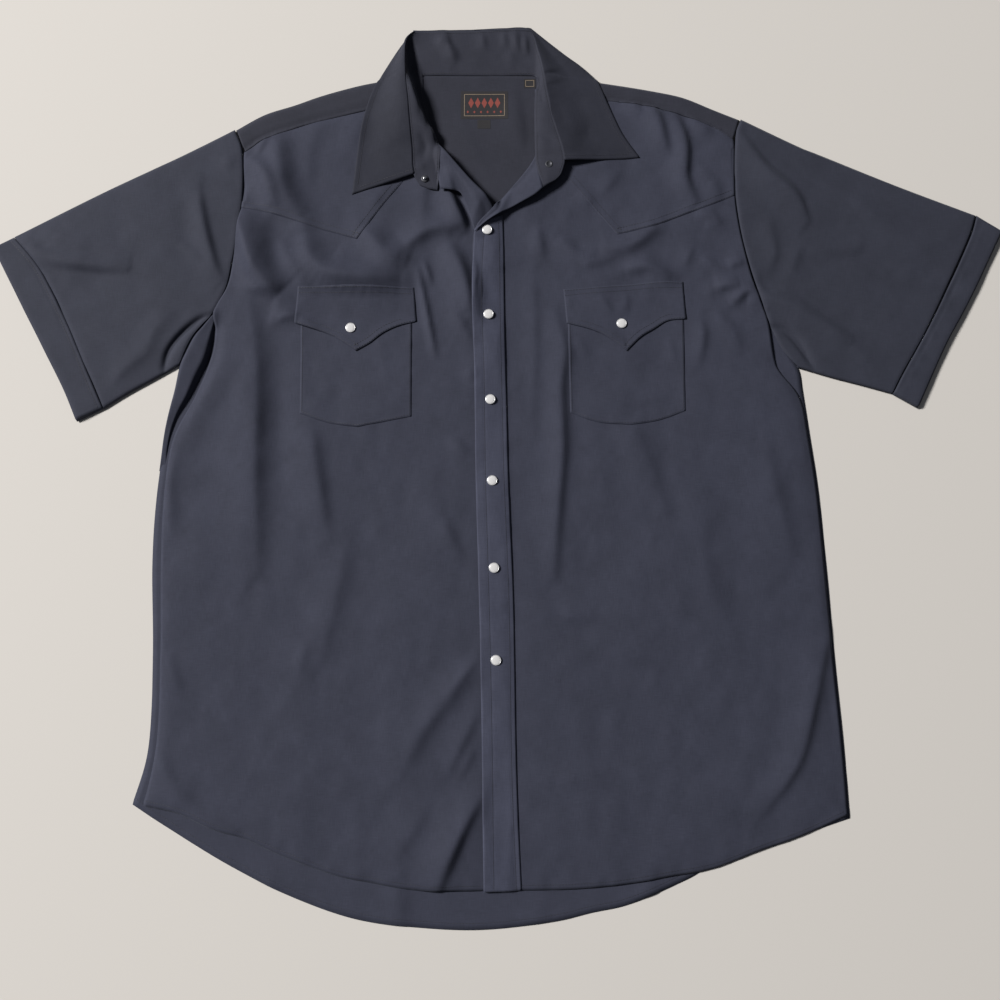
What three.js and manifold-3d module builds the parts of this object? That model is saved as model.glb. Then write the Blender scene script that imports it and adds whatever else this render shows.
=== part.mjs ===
// A short-sleeved western snap shirt lying flat on its back, in millimetres.
// X runs to the viewer's right, +Y runs from the hem to the collar and +Z rises from the surface.
// Left and right are the viewer's. The origin lies under the middle of the shirt.
import * as THREE from 'three';
import { mergeVertices } from 'three/addons/utils/BufferGeometryUtils.js';
import Module from 'manifold-3d';

const wasm = await Module();
wasm.setup();

// Cloth walls, and the gaps between what is sewn or laid together
const CLOTH = 1.2;
const HEM_CLOTH = 1.5;
const GAP = 0.3;
const SEAM = 0.5;
const BACK_TOP = CLOTH + GAP;

// Snaps and labels
const SNAP_RADIUS = 5.3;
const SNAP_HEIGHT = 2.4;
const STUD_RADIUS = 4;
const STUD_HEIGHT = 3.2;
const SOCKET_HEIGHT = 1.4;
const ROUND_SIDES = 12;
const LABEL_THICKNESS = 0.6;

// How far the laid cloth stands up: a front over the back, a sleeve, and the roll of the collar's fold
const PUFF = 2.2;
const SLEEVE_HEIGHT = 4;
const ROLL_TOP = 4.3;
const FRONT_EDGE = { height: 0.25, rise: 9 };
const SLEEVE_EDGE = { height: 0.2, rise: 5 };

// Where across its width a shoulder strip is folded over the edge of the yoke's lower layer
const WRAP = { from: 0.88, to: 0.97 };

// Sheets are tested against what lies below them at steps of this size, found by squares of this size.
const SAMPLE = 3;
const BUCKET = 20;

const shirt = new THREE.Group();

// A small table: the first list names the columns, and each later one is a row.
function table(columns, ...rows) {
  return rows.map((row) => Object.fromEntries(columns.map((name, k) => [name, row[k]])));
}

// The largest folds that stand up from the cloth, or sink into it, each along a straight line
const folds = table(['x1', 'y1', 'x2', 'y2', 'width', 'height'],
  [-255, 330, -225, 262, 18, 2.5],
  [-262, 235, -215, 172, 18, 3.0],
  [-256, 150, -249, -120, 22, -2.0],
  [-225, 120, -205, -160, 24, 2.2],
  [-75, 190, -66, 125, 16, 2.6],
  [-112, -330, -62, -270, 22, 2.4],
  [-60, -395, -42, -350, 16, 3.0],
  [-335, -330, -300, -250, 18, 2.4],
  [172, 366, 182, 300, 16, 3.0],
  [206, 362, 214, 280, 16, 3.2],
  [88, 210, 150, 238, 18, 2.6],
  [63, 150, 55, -120, 18, -2.2],
  [88, 120, 84, -60, 20, 2.0],
  [140, 0, 178, -90, 22, 1.6],
  [318, -195, 268, -350, 16, 2.6],
  [30, -160, 105, -172, 18, -1.6],
  [270, 340, 330, 250, 18, 3.2],
  [295, 150, 400, 95, 18, 2.6],
  [-500, 222, -330, 205, 18, 3.0],
  [-322, 285, -300, 195, 18, 2.8],
  [-415, 95, -375, 115, 18, 2.0]);

function reach(x, y, fold) {
  const dx = fold.x2 - fold.x1;
  const dy = fold.y2 - fold.y1;
  const along = ((x - fold.x1) * dx + (y - fold.y1) * dy) / (dx * dx + dy * dy);
  const t = Math.min(1, Math.max(0, along));
  return Math.hypot(x - fold.x1 - t * dx, y - fold.y1 - t * dy) / fold.width;
}

function relief(x, y) {
  let height = PUFF;
  for (const fold of folds) height += fold.height * Math.exp(-(reach(x, y, fold) ** 2));
  return Math.max(0, height);
}

// Cloth lies low at its edges and swells to its full height inwards: u is the place across it.
function swell(u, { height, rise }) {
  return Math.min(1, height + rise * Math.min(u, 1 - u));
}

// The point at t from 0 to 1 through a table's rows. Each row is met at an even share of t.
function through(rows, t, columns, sharp) {
  if (!sharp && rows.length > 2) {
    const points = rows.map((row) => new THREE.Vector3(...columns.map((name) => row[name] ?? 0)));
    const point = new THREE.CatmullRomCurve3(points, false, 'centripetal').getPoint(t);
    return [point.x, point.y];
  }
  const at = t * (rows.length - 1);
  const k = Math.min(rows.length - 2, Math.floor(at));
  return columns.slice(0, 2).map((name) => THREE.MathUtils.lerp(rows[k][name], rows[k + 1][name], at - k));
}

// A sheet of cloth between its left and right edges, given row by row, and its start and end edges.
// Low and high are the heights of its under side and its top at each point.
function cut({ rows, start, end, across, along, sharp = false }) {
  const grid = { across, along, points: [] };
  const edge = (side, v) => through(rows, v, [side + 'X', side + 'Y'], sharp);
  const bulge = (curve, u, v) => {
    if (!curve) return [0, 0];
    const bent = through(curve, u, ['x', 'y'], sharp);
    const [left, right] = [edge('left', v), edge('right', v)];
    return [0, 1].map((k) => bent[k] - THREE.MathUtils.lerp(left[k], right[k], u));
  };
  for (let j = 0; j <= along; j++) {
    const v = j / along;
    const [left, right] = [edge('left', v), edge('right', v)];
    const at = v * (rows.length - 1);
    const k = Math.min(rows.length - 2, Math.floor(at));
    const level = (side) => THREE.MathUtils.lerp(rows[k][side] ?? 0, rows[k + 1][side] ?? 0, at - k);
    for (let i = 0; i <= across; i++) {
      const u = i / across;
      const [first, last] = [bulge(start, u, 0), bulge(end, u, 1)];
      const place = [0, 1].map((n) => THREE.MathUtils.lerp(left[n], right[n], u)
        + (1 - v) * first[n] + v * last[n]);
      const lift = THREE.MathUtils.lerp(level('leftZ'), level('rightZ'), u);
      grid.points.push({ x: place[0], y: place[1], low: lift, high: lift, u, v });
    }
  }
  return grid;
}

function cells(grid) {
  const list = [];
  for (let j = 0; j < grid.along; j++) {
    for (let i = 0; i < grid.across; i++) {
      const a = j * (grid.across + 1) + i;
      const c = a + grid.across + 1;
      list.push([a, a + 1, c + 1], [a, c + 1, c]);
    }
  }
  return list;
}

// How high the top of a sheet lies at a place, or minus infinity beside it
function topAt(grid, x, y) {
  let best = -Infinity;
  for (const [a, b, c] of grid.near.get(bucket(x, y)) ?? []) {
    const [p, q, r] = [grid.points[a], grid.points[b], grid.points[c]];
    const area = (q.x - p.x) * (r.y - p.y) - (r.x - p.x) * (q.y - p.y);
    const s = ((q.x - x) * (r.y - y) - (r.x - x) * (q.y - y)) / area;
    const t = ((r.x - x) * (p.y - y) - (p.x - x) * (r.y - y)) / area;
    if (s < -0.02 || t < -0.02 || s + t > 1.02) continue;
    best = Math.max(best, s * p.high + t * q.high + (1 - s - t) * r.high);
  }
  return best;
}

function bucket(x, y) {
  return Math.floor(x / BUCKET) * 10000 + Math.floor(y / BUCKET);
}

function index(grid) {
  grid.near = new Map();
  for (const cell of cells(grid)) {
    const xs = cell.map((k) => grid.points[k].x);
    const ys = cell.map((k) => grid.points[k].y);
    for (let x = Math.min(...xs) - 1; x < Math.max(...xs) + BUCKET; x += BUCKET) {
      for (let y = Math.min(...ys) - 1; y < Math.max(...ys) + BUCKET; y += BUCKET) {
        const key = bucket(x, y);
        if (!grid.near.has(key)) grid.near.set(key, []);
        if (!grid.near.get(key).includes(cell)) grid.near.get(key).push(cell);
      }
    }
  }
}

// Lays a sheet down: its under side takes the shape asked for and is then raised, cell by cell,
// wherever a sheet below it would come nearer than the gap.
function lay(grid, { shape = () => 0, over = [], wall = CLOTH }) {
  const under = (x, y) => Math.max(-Infinity, ...over.map((sheet) => topAt(sheet, x, y)));
  for (const p of grid.points) p.low = Math.max(p.low, shape(p), under(p.x, p.y) + GAP);
  for (const cell of cells(grid)) {
    const [p, q, r] = cell.map((k) => grid.points[k]);
    const longest = Math.max(Math.hypot(p.x - q.x, p.y - q.y), Math.hypot(q.x - r.x, q.y - r.y),
      Math.hypot(r.x - p.x, r.y - p.y));
    const steps = Math.ceil(longest / SAMPLE) + 1;
    let raise = 0;
    for (let m = 0; m <= steps; m++) {
      for (let n = 0; n <= steps - m; n++) {
        const [s, t] = [m / steps, n / steps];
        const mix = (name) => s * p[name] + t * q[name] + (1 - s - t) * r[name];
        const [x, y] = [mix('x'), mix('y')];
        raise = Math.max(raise, under(x, y) + GAP - mix('low'));
      }
    }
    for (const point of [p, q, r]) point.low += raise;
  }
  for (const point of grid.points) point.high = point.low + wall;
  index(grid);
  return grid;
}

// A body of vertices and faces, turned so that its faces point out
function body(vertices, faces) {
  let volume = 0;
  const [a, b, c] = [new THREE.Vector3(), new THREE.Vector3(), new THREE.Vector3()];
  for (const face of faces) {
    [a, b, c].forEach((corner, k) => corner.fromArray(vertices[face[k]]));
    volume += a.dot(b.cross(c));
  }
  const turned = volume < 0 ? faces.map(([p, q, r]) => [p, r, q]) : faces;
  const geometry = new THREE.BufferGeometry();
  geometry.setAttribute('position', new THREE.Float32BufferAttribute(vertices.flat(), 3));
  geometry.setIndex(turned.flat());
  return geometry;
}

// The closed wall between a sheet's under side and its top
function wallOf(grid) {
  const count = grid.points.length;
  const vertices = ['low', 'high'].flatMap((side) => grid.points.map((p) => [p.x, p.y, p[side]]));
  const faces = cells(grid).flatMap(([a, b, c]) => [[a + count, b + count, c + count], [a, c, b]]);
  const wide = grid.across + 1;
  const rim = [];
  for (let i = 0; i < grid.across; i++) rim.push(i);
  for (let j = 0; j < grid.along; j++) rim.push(j * wide + grid.across);
  for (let i = grid.across; i > 0; i--) rim.push(grid.along * wide + i);
  for (let j = grid.along; j > 0; j--) rim.push(j * wide);
  rim.forEach((from, k) => {
    const to = rim[(k + 1) % rim.length];
    faces.push([from, to, to + count], [from, to + count, from + count]);
  });
  return body(vertices, faces);
}

// A flattened tube on a sheet's plan: its lower wall lies flat, its upper wall follows the heights.
function tubeOf(grid, wall) {
  const wide = grid.across + 1;
  const vertices = [];
  const ring = 2 * wide;
  for (const inside of [0, 1]) {
    for (let j = 0; j <= grid.along; j++) {
      const line = grid.points.slice(j * wide, (j + 1) * wide);
      const [first, last] = [line[0], line[grid.across]];
      const length = Math.hypot(last.x - first.x, last.y - first.y);
      const inset = (p, k) => {
        const move = inside * wall * ((k === 0) - (k === grid.across)) / length;
        return [p.x + (last.x - first.x) * move, p.y + (last.y - first.y) * move];
      };
      line.forEach((p, k) => vertices.push([...inset(p, k), inside * wall]));
      [...line].reverse().forEach((p, k) => {
        vertices.push([...inset(p, grid.across - k), p.high - inside * wall]);
      });
    }
  }
  const shift = ring * (grid.along + 1);
  const faces = [];
  for (let k = 0; k < ring; k++) {
    const next = (k + 1) % ring;
    for (let j = 0; j < grid.along; j++) {
      const [a, b, c, d] = [j * ring + k, j * ring + next, (j + 1) * ring + next, (j + 1) * ring + k];
      faces.push([a, b, c], [a, c, d]);
      faces.push([a + shift, c + shift, b + shift], [a + shift, d + shift, c + shift]);
    }
    const top = grid.along * ring;
    faces.push([k, k + shift, next + shift], [k, next + shift, next]);
    faces.push([top + k, top + next + shift, top + k + shift], [top + k, top + next, top + next + shift]);
  }
  return body(vertices, faces);
}

function join(...geometries) {
  const solids = geometries.map((geometry) => {
    const bare = mergeVertices(geometry, 1e-4);
    return new wasm.Manifold(new wasm.Mesh({
      numProp: 3,
      vertProperties: new Float32Array(bare.attributes.position.array),
      triVerts: new Uint32Array(bare.index.array),
    }));
  });
  const mesh = solids.reduce((whole, solid) => whole.add(solid)).getMesh();
  const geometry = new THREE.BufferGeometry();
  geometry.setAttribute('position', new THREE.BufferAttribute(mesh.vertProperties, 3));
  geometry.setIndex(new THREE.BufferAttribute(mesh.triVerts, 1));
  return geometry;
}

const charcoal = { color: 0x43434f, roughness: 0.9, metalness: 0 };
const pearl = { color: 0xe9e8e4, roughness: 0.3, metalness: 0 };
const steel = { color: 0xb9bbc0, roughness: 0.3, metalness: 1 };
const woven = { color: 0x6a3a34, roughness: 0.8, metalness: 0 };

function add(name, geometry, finish = charcoal) {
  const mesh = new THREE.Mesh(geometry, new THREE.MeshStandardMaterial(finish));
  mesh.name = name;
  shirt.add(mesh);
  return mesh;
}

// A narrow fold that joins an upper layer to the lower one along the edge that they share
function foldOf(lower, upper, rows, along) {
  const strip = cut({ rows, across: 1, along });
  for (const p of strip.points) {
    p.low = heightNear(lower, p) - CLOTH / 2;
    p.high = heightNear(upper, p) - CLOTH / 2;
  }
  return wallOf(strip);
}

function heightNear(grid, { x, y }) {
  const top = topAt(grid, x, y);
  if (top > -Infinity) return top;
  const away = (p) => Math.hypot(p.x - x, p.y - y);
  return grid.points.reduce((best, p) => (away(p) < away(best) ? p : best)).high;
}

function moved(rows, dx, dy) {
  return rows.map(({ x, y }) => ({ x: x + dx, y: y + dy }));
}

// The rows of a sheet between two edges of as many points
function between(left, right) {
  return left.map((point, k) => ({ leftX: point.x, leftY: point.y, rightX: right[k].x, rightY: right[k].y }));
}

// Edges that two pieces share. The armholes run from the underarm to the shoulder.
const armholeLeft = table(['x', 'y'],
  [-336, 90], [-322, 122], [-302, 148], [-289, 175], [-284, 202], [-279, 240], [-275, 280], [-277, 327],
  [-287, 353]);
const armholeRight = table(['x', 'y'],
  [312, 88], [295, 108], [283, 137], [274, 165], [265, 197], [256, 242], [252, 285], [254, 343], [261, 365]);
const shoulderLeft = table(['x', 'y'],
  [-276.5, 327], [-254, 343], [-220, 357], [-190, 366], [-150, 376], [-112, 386], [-78, 396]);
const shoulderRight = table(['x', 'y'],
  [38, 399], [75, 397], [120, 388], [160, 381], [195, 372], [228, 358], [253.5, 343]);
const yokeSeam = table(['x', 'y'],
  [-278.5, 240], [-210, 238], [-142, 230], [-76, 216], [-10, 200], [56, 216], [122, 231], [188, 239],
  [255.5, 242]);

// Every sheet that has been laid down so far, lowest first
const pile = [];

function pileUp(grid, options = {}) {
  lay(grid, { over: pile, ...options });
  pile.push(grid);
  return grid;
}

// Back: one sheet, flat on the surface, from the curved hem up to the yoke seam
const back = pileUp(cut({
  rows: between(
    [...table(['x', 'y'], [-363, -356], [-350, -300], [-350, -210], [-355, -120], [-354, -50], [-347, 20],
      [-339, 64]), ...moved(armholeLeft.slice(0, 6), SEAM, 0)],
    [...table(['x', 'y'], [345, -369], [343, -312], [338, -225], [334, -140], [329, -50], [322, 15],
      [317, 62]), ...moved(armholeRight.slice(0, 6), -SEAM, 0)]),
  start: table(['x', 'y'],
    [-363, -356], [-270, -413], [-180, -453], [-95, -473], [-10, -474], [75, -462], [165, -434], [255, -400],
    [345, -369]),
  end: moved(yokeSeam, 0, -SEAM),
  across: 8,
  along: 24,
}));
add('back', wallOf(back));

// Collar leaf, hidden part: it is folded under behind the neck and lies on the surface
const leafUnder = pileUp(cut({
  rows: table(['leftX', 'leftY', 'rightX', 'rightY'], [-130, 413.5, 102, 412.5], [-130, 416, 102, 415]),
  start: table(['x', 'y'], [-130, 413.5], [-98, 420], [28, 420], [102, 412.5]),
  end: table(['x', 'y'], [-130, 416], [-96, 468], [32, 473], [102, 415]),
  across: 12,
  along: 3,
  sharp: true,
}));

// Back yoke: its lower layer, and the two strips that wrap over the shoulders to their front seams
const yokeUnder = pileUp(cut({
  rows: between(moved(armholeLeft.slice(5), SEAM, 0), moved(armholeRight.slice(5), -SEAM, 0)),
  start: moved(yokeSeam, 0, SEAM),
  end: table(['x', 'y'],
    [-286.5, 353], [-256, 371], [-224, 382], [-192, 394], [-150, 406], [-112, 413], [-84, 416.5],
    [-28, 416.5], [28, 416.5], [40, 416], [84, 412], [124, 406], [164, 399], [199, 391], [232, 377],
    [260.5, 365]),
  across: 15,
  along: 6,
}));

// Left front: it lies under the right one down the middle.
function frontShape({ x, y, u }) {
  return BACK_TOP + swell(u, FRONT_EDGE) * relief(x, y);
}

const frontLeft = pileUp(cut({
  rows: between(
    [...table(['x', 'y'], [-352, -357], [-342, -300], [-342, -210], [-346, -120], [-346, -50], [-341, 5],
      [-324, 59], [-310, 100]), ...moved(armholeLeft.slice(2, 8), SEAM, 0)],
    table(['x', 'y'], [9, -437], [9, -375], [9, -290], [8, -190], [7, -100], [5, -20], [3, 60], [1, 120],
      [-2, 175], [-4, 225], [-6, 262], [-35, 296], [-62, 329], [-78, 395])),
  start: table(['x', 'y'],
    [-352, -357], [-306, -371], [-262, -388], [-217, -406], [-170, -421], [-126, -430], [-80, -436],
    [-36, -438], [9, -437]),
  end: moved(shoulderLeft, 0, -SEAM),
  across: 12,
  along: 26,
}), { shape: frontShape });

// Its top corner is rolled open: the flap runs from the free edge to the roll line.
const lapelLeft = pileUp(cut({
  rows: table(['leftX', 'leftY', 'leftZ', 'rightX', 'rightY', 'rightZ'],
    [-28, 243, 5, -11, 265.5, 7], [-33, 262, 7, -25, 282.5, 9], [-41, 279, 9, -38, 298, 10],
    [-52, 281.5, 9, -50, 312.5, 11], [-63, 283, 9, -62, 327, 11]),
  across: 3,
  along: 8,
}));
add('front_left', join(wallOf(frontLeft), wallOf(lapelLeft), foldOf(frontLeft, lapelLeft, table(
  ['leftX', 'leftY', 'rightX', 'rightY'],
  [-13, 265, -11.8, 265.8], [-26, 281, -24.9, 281.9], [-39, 296.5, -38, 297.4], [-51, 311, -50, 311.9],
  [-62.3, 325, -61.6, 325.9]), 8)));

const frontRight = pileUp(cut({
  rows: between(
    table(['x', 'y'], [-16, -437], [-17, -375], [-18, -300], [-20, -200], [-22, -130], [-25, -33], [-26, 30],
      [-27, 90], [-29, 140], [-28.5, 190], [-27, 238], [-5, 264], [37, 319], [38, 398.5]),
    [...table(['x', 'y'], [343, -366], [341, -312], [336, -225], [332, -140], [327, -50], [320, 15],
      [313, 56], [290, 90]), ...moved(armholeRight.slice(2, 8), -SEAM, 0)]),
  start: table(['x', 'y'],
    [-16, -437], [29, -437], [75, -436], [120, -432], [166, -425], [211, -412], [255, -398], [299, -383],
    [343, -366]),
  end: moved(shoulderRight, 0, -SEAM),
  across: 12,
  along: 26,
}), { shape: frontShape });

// Placket: the snap band along the right front's edge, from the hem up to the neckline
const placket = pileUp(cut({
  rows: table(['leftX', 'leftY', 'rightX', 'rightY'],
    [-16, -438.5, 21, -437], [-17, -375, 18, -370], [-18, -300, 17, -285], [-20, -200, 14.5, -190],
    [-22, -130, 13, -130], [-25, -33, 9, -33], [-26, 30, 7.5, 30], [-27, 90, 6, 90], [-29, 140, 5, 140],
    [-29.5, 185, 4.5, 185], [-28, 219, 3, 222], [-27, 238, 3, 255]),
  across: 2,
  along: 22,
}));
add('placket', wallOf(placket));

const lapelRight = pileUp(cut({
  rows: table(['leftX', 'leftY', 'leftZ', 'rightX', 'rightY', 'rightZ'],
    [-15.5, 250.5, 6, -13, 249, 6], [-4.5, 263.5, 7, 2, 259.5, 8], [10.5, 283.5, 8, 16, 269, 9],
    [24.5, 302, 9, 31, 277.5, 10], [36.5, 317.5, 9, 44, 288.5, 11]),
  across: 3,
  along: 8,
}));
add('front_right', join(wallOf(frontRight), wallOf(lapelRight), foldOf(frontRight, lapelRight, table(
  ['leftX', 'leftY', 'rightX', 'rightY'],
  [-4, 263.8, -3, 262.8], [11, 283.6, 12, 282.8], [25, 302, 26, 301.2], [36.8, 316.4, 37.6, 315.6]), 8)));

// Front yokes: pointed pieces sewn on the top of each front
const yokeFrontLeft = pileUp(cut({
  rows: table(['leftX', 'leftY', 'rightX', 'rightY'],
    [-276, 262, -104, 293], [-274.3, 290, -89, 322], [-275.8, 326, -79, 394.5]),
  start: table(['x', 'y'],
    [-276, 262], [-240, 254], [-204, 242], [-172, 233], [-152, 227], [-128, 262], [-104, 293]),
  end: moved(shoulderLeft, 0, -SEAM),
  across: 12,
  along: 4,
  sharp: true,
}));
add('front_yoke_left', wallOf(yokeFrontLeft));

const yokeFrontRight = pileUp(cut({
  rows: table(['leftX', 'leftY', 'rightX', 'rightY'],
    [73, 296, 251.5, 277], [50, 332, 252.2, 315], [39, 398, 252.8, 342.5]),
  start: table(['x', 'y'],
    [73, 296], [103, 260], [125, 233], [163, 242], [186, 251], [223, 265], [251.5, 277]),
  end: moved(shoulderRight, 0, -SEAM),
  across: 12,
  along: 4,
  sharp: true,
}));
add('front_yoke_right', wallOf(yokeFrontRight));

function shoulderStrip(rows) {
  const strip = pileUp(cut({ rows, across: 2, along: 12 }), { shape: () => BACK_TOP + PUFF });
  const wrap = rows.map(({ leftX, leftY, rightX, rightY }) => {
    const part = (share) => [leftX + (rightX - leftX) * share, leftY + (rightY - leftY) * share];
    const [inner, outer] = [part(WRAP.from), part(WRAP.to)];
    return { leftX: inner[0], leftY: inner[1], rightX: outer[0], rightY: outer[1] };
  });
  return [wallOf(strip), foldOf(yokeUnder, strip, wrap, 12)];
}

const stripColumns = ['leftX', 'leftY', 'rightX', 'rightY'];
const stripLeft = shoulderStrip(table(stripColumns,
  [-80, 397.5, -86, 415.5], [-112, 387.5, -112, 412], [-150, 377.5, -150, 405], [-190, 367.5, -192, 393],
  [-220, 358.5, -224, 381], [-254, 344.5, -256, 370], [-275.9, 329.8, -284.6, 352.2]));
const stripRight = shoulderStrip(table(stripColumns,
  [40, 400.5, 40, 415], [80, 397.5, 84, 411], [120, 389.5, 124, 405], [160, 382.5, 164, 398],
  [195, 373.5, 199, 390], [228, 360, 232, 376], [252.8, 345.4, 258.9, 364]));
add('back_yoke', join(wallOf(yokeUnder), ...stripLeft, ...stripRight));

// Pockets and flaps: patches with a pointed lower edge, each flap over its pocket
function patch(name, rows, start, across, along) {
  const sheet = pileUp(cut({ rows: table(stripColumns, ...rows), start, across, along, sharp: true }));
  add(name, wallOf(sheet));
  return sheet;
}

patch('pocket_left', [[-208, 38, -92, 35], [-210, 160, -93, 160]], table(['x', 'y'],
  [-208, 38], [-178, 28], [-148, 24], [-122, 29], [-92, 35]), 8, 4);
patch('pocket_right', [[73, 39, 193, 41], [71, 160, 194, 166]], table(['x', 'y'],
  [73, 39], [101, 29], [136, 26], [165, 31], [193, 41]), 8, 4);
const flapLeft = patch('pocket_flap_left', [[-216, 135, -88, 137], [-213, 174, -91, 174]], table(['x', 'y'],
  [-216, 135], [-180, 123], [-151, 105], [-123, 124], [-88, 137]), 8, 3);
const flapRight = patch('pocket_flap_right', [[70, 135, 196, 140], [67, 172, 194, 181]], table(['x', 'y'],
  [70, 135], [98, 127], [133, 105], [163, 130], [196, 140]), 8, 3);

// Sleeves: flattened tubes from the armhole to the hem band, which is a tube of its own
function tube(name, { rows, start, end, across, along }, wall) {
  const plan = cut({ rows: table(stripColumns, ...rows), start, end, across, along });
  for (const p of plan.points) {
    p.high = SLEEVE_HEIGHT + swell(p.u, SLEEVE_EDGE) * relief(p.x, p.y);
  }
  add(name, tubeOf(plan, wall));
}

const bandSeamLeft = table(['x', 'y'],
  [-413, 44], [-431, 82], [-453, 130], [-474, 171], [-493, 202], [-519, 231]);
const bandSeamRight = table(['x', 'y'],
  [410, 60], [422, 82], [448, 126], [474, 175], [500, 228], [510, 255]);
tube('sleeve_left', {
  rows: [[-337, 90, -288, 353.5], [-363, 75, -348, 321], [-388, 60, -430, 279], [-412.4, 44, -518.4, 231]],
  start: moved(armholeLeft, -SEAM - GAP, 0),
  end: moved(bandSeamLeft, SEAM, 0),
  across: 16,
  along: 4,
}, CLOTH);
tube('sleeve_right', {
  rows: [[313, 88, 262, 365.5], [346, 78, 345, 324], [379, 69, 428, 288], [409.4, 60, 509.4, 255]],
  start: moved(armholeRight, SEAM + GAP, 0),
  end: moved(bandSeamRight, -SEAM, 0),
  across: 16,
  along: 4,
}, CLOTH);
tube('sleeve_hem_left', {
  rows: [[-413.5, 43.5, -519.5, 231], [-440, 30, -540, 220]],
  start: bandSeamLeft,
  end: table(['x', 'y'], [-440, 30], [-456, 65], [-477, 104], [-504, 153], [-524, 190], [-540, 220]),
  across: 10,
  along: 2,
}, HEM_CLOTH);
tube('sleeve_hem_right', {
  rows: [[410.5, 60, 510.5, 255], [435, 45, 536, 238]],
  start: moved(bandSeamRight, GAP, 0),
  end: table(['x', 'y'], [435, 45], [453, 82], [470, 116], [490, 150], [509, 185], [536, 238]),
  across: 10,
  along: 2,
}, HEM_CLOTH);

// Collar stand: the band round the neck, from its right end to its left one. Its lower edge is the
// neck seam, and its upper edge carries the leaf.
const stand = pileUp(cut({
  rows: table(['leftX', 'leftY', 'leftZ', 'rightX', 'rightY', 'rightZ'],
    [47, 290.5, 10, 57, 296, 9], [42, 303, 9, 67, 307, 9], [38.5, 319, 7, 69.2, 319.5, 10],
    [38.5, 345, 5, 62, 345, 11], [38, 372, 4, 54.6, 371, 12], [38, 395, 3, 50.2, 397, 11],
    [39.4, 412, 2.6, 44.6, 430, 8], [31, 418, 2, 31, 467, 4], [-30, 418, 2, -30, 466.5, 3.5],
    [-84, 418, 2, -94.5, 465, 6], [-80, 400, 3, -98.6, 440, 14], [-75, 380, 4, -97.2, 416, 17],
    [-68, 352, 6, -96.2, 380, 17], [-64, 331, 8, -94.2, 340, 16], [-65.5, 305, 10, -93.2, 306, 14],
    [-67, 287, 11, -87, 293, 12]),
  across: 3,
  along: 30,
}));
add('collar_stand', wallOf(stand));

// Collar leaf: the two wings that show, and the folds that take them under behind the neck
const wingRight = pileUp(cut({
  rows: table(['leftX', 'leftY', 'leftZ', 'rightX', 'rightY', 'rightZ'],
    [36.4, 469.3, 5, 38.8, 466.3, 4], [46.2, 439, 8, 74, 437, 5], [50, 416, 11, 101, 414, 5],
    [54.6, 385, 12, 117, 384, 6], [59.6, 357, 12, 129, 356, 7], [70.8, 320, 11, 149, 322, 8]),
  across: 3,
  along: 10,
}));
const wingLeft = pileUp(cut({
  rows: table(['leftX', 'leftY', 'leftZ', 'rightX', 'rightY', 'rightZ'],
    [-103, 460, 5, -100.4, 462, 7], [-118, 437, 5, -102, 440, 14], [-130, 415, 5, -100.2, 416, 17],
    [-146, 379, 7, -98.6, 380, 17], [-153, 335, 7, -96.6, 340, 16], [-158, 280, 8, -95.4, 305, 14]),
  across: 3,
  along: 10,
}));
const foldRight = foldOf(leafUnder, wingRight, table(stripColumns,
  [37, 465.8, 38, 466.8], [53, 451.5, 54, 452.5], [73, 435, 74, 436], [99, 413.3, 100, 414]), 6);
const foldLeft = foldOf(leafUnder, wingLeft, table(stripColumns,
  [-101.4, 460.2, -100.4, 459.4], [-109, 449.5, -108, 449], [-117.4, 436, -116, 435.5],
  [-129, 415, -127.6, 415]), 6);
const roll = cut({
  rows: table(stripColumns, [-92, 467.2, -92, 468.2], [-30, 469, -30, 470.2], [28, 471, 28, 472.4]),
  across: 1,
  along: 8,
});
for (const p of roll.points) {
  p.low = CLOTH / 3;
  p.high = ROLL_TOP;
}
add('collar_leaf', join(...[leafUnder, wingRight, wingLeft, roll].map(wallOf), foldRight, foldLeft));

// Snaps: pearl caps in a metal ring, pressed through the placket and the flaps
function roundPiece(name, x, y, profile, finish) {
  const points = profile.map(([radius, height]) => new THREE.Vector2(radius, height));
  const geometry = new THREE.LatheGeometry(points, ROUND_SIDES);
  geometry.rotateX(Math.PI / 2);
  const mesh = add(name, geometry, finish);
  const radius = Math.max(...profile.map(([r]) => r));
  let seat = 0;
  for (let dx = -radius; dx <= radius; dx++) {
    for (let dy = -radius; dy <= radius; dy++) {
      if (Math.hypot(dx, dy) > radius + 0.5) continue;
      seat = Math.max(seat, ...pile.map((sheet) => topAt(sheet, x + dx, y + dy)));
    }
  }
  mesh.position.set(x, y, seat + GAP);
}

const snapProfile = [[0, 0], [SNAP_RADIUS - 0.4, 0], [SNAP_RADIUS, 0.5], [SNAP_RADIUS - 0.1, 1.3],
  [SNAP_RADIUS - 0.7, 1.5], [SNAP_RADIUS - 1.2, SNAP_HEIGHT - 0.5], [SNAP_RADIUS / 2, SNAP_HEIGHT - 0.1],
  [0, SNAP_HEIGHT]];
const placketSnaps = table(['x', 'y'],
  [-13.6, 236.4], [-12, 143.7], [-10, 52.3], [-8, -33], [-6, -122.5], [-4, -215]);
placketSnaps.forEach(({ x, y }, k) => roundPiece(`snap_${k + 1}`, x, y, snapProfile, pearl));
roundPiece('pocket_snap_left', -157, 130, snapProfile, pearl);
roundPiece('pocket_snap_right', 128, 135, snapProfile, pearl);

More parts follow.
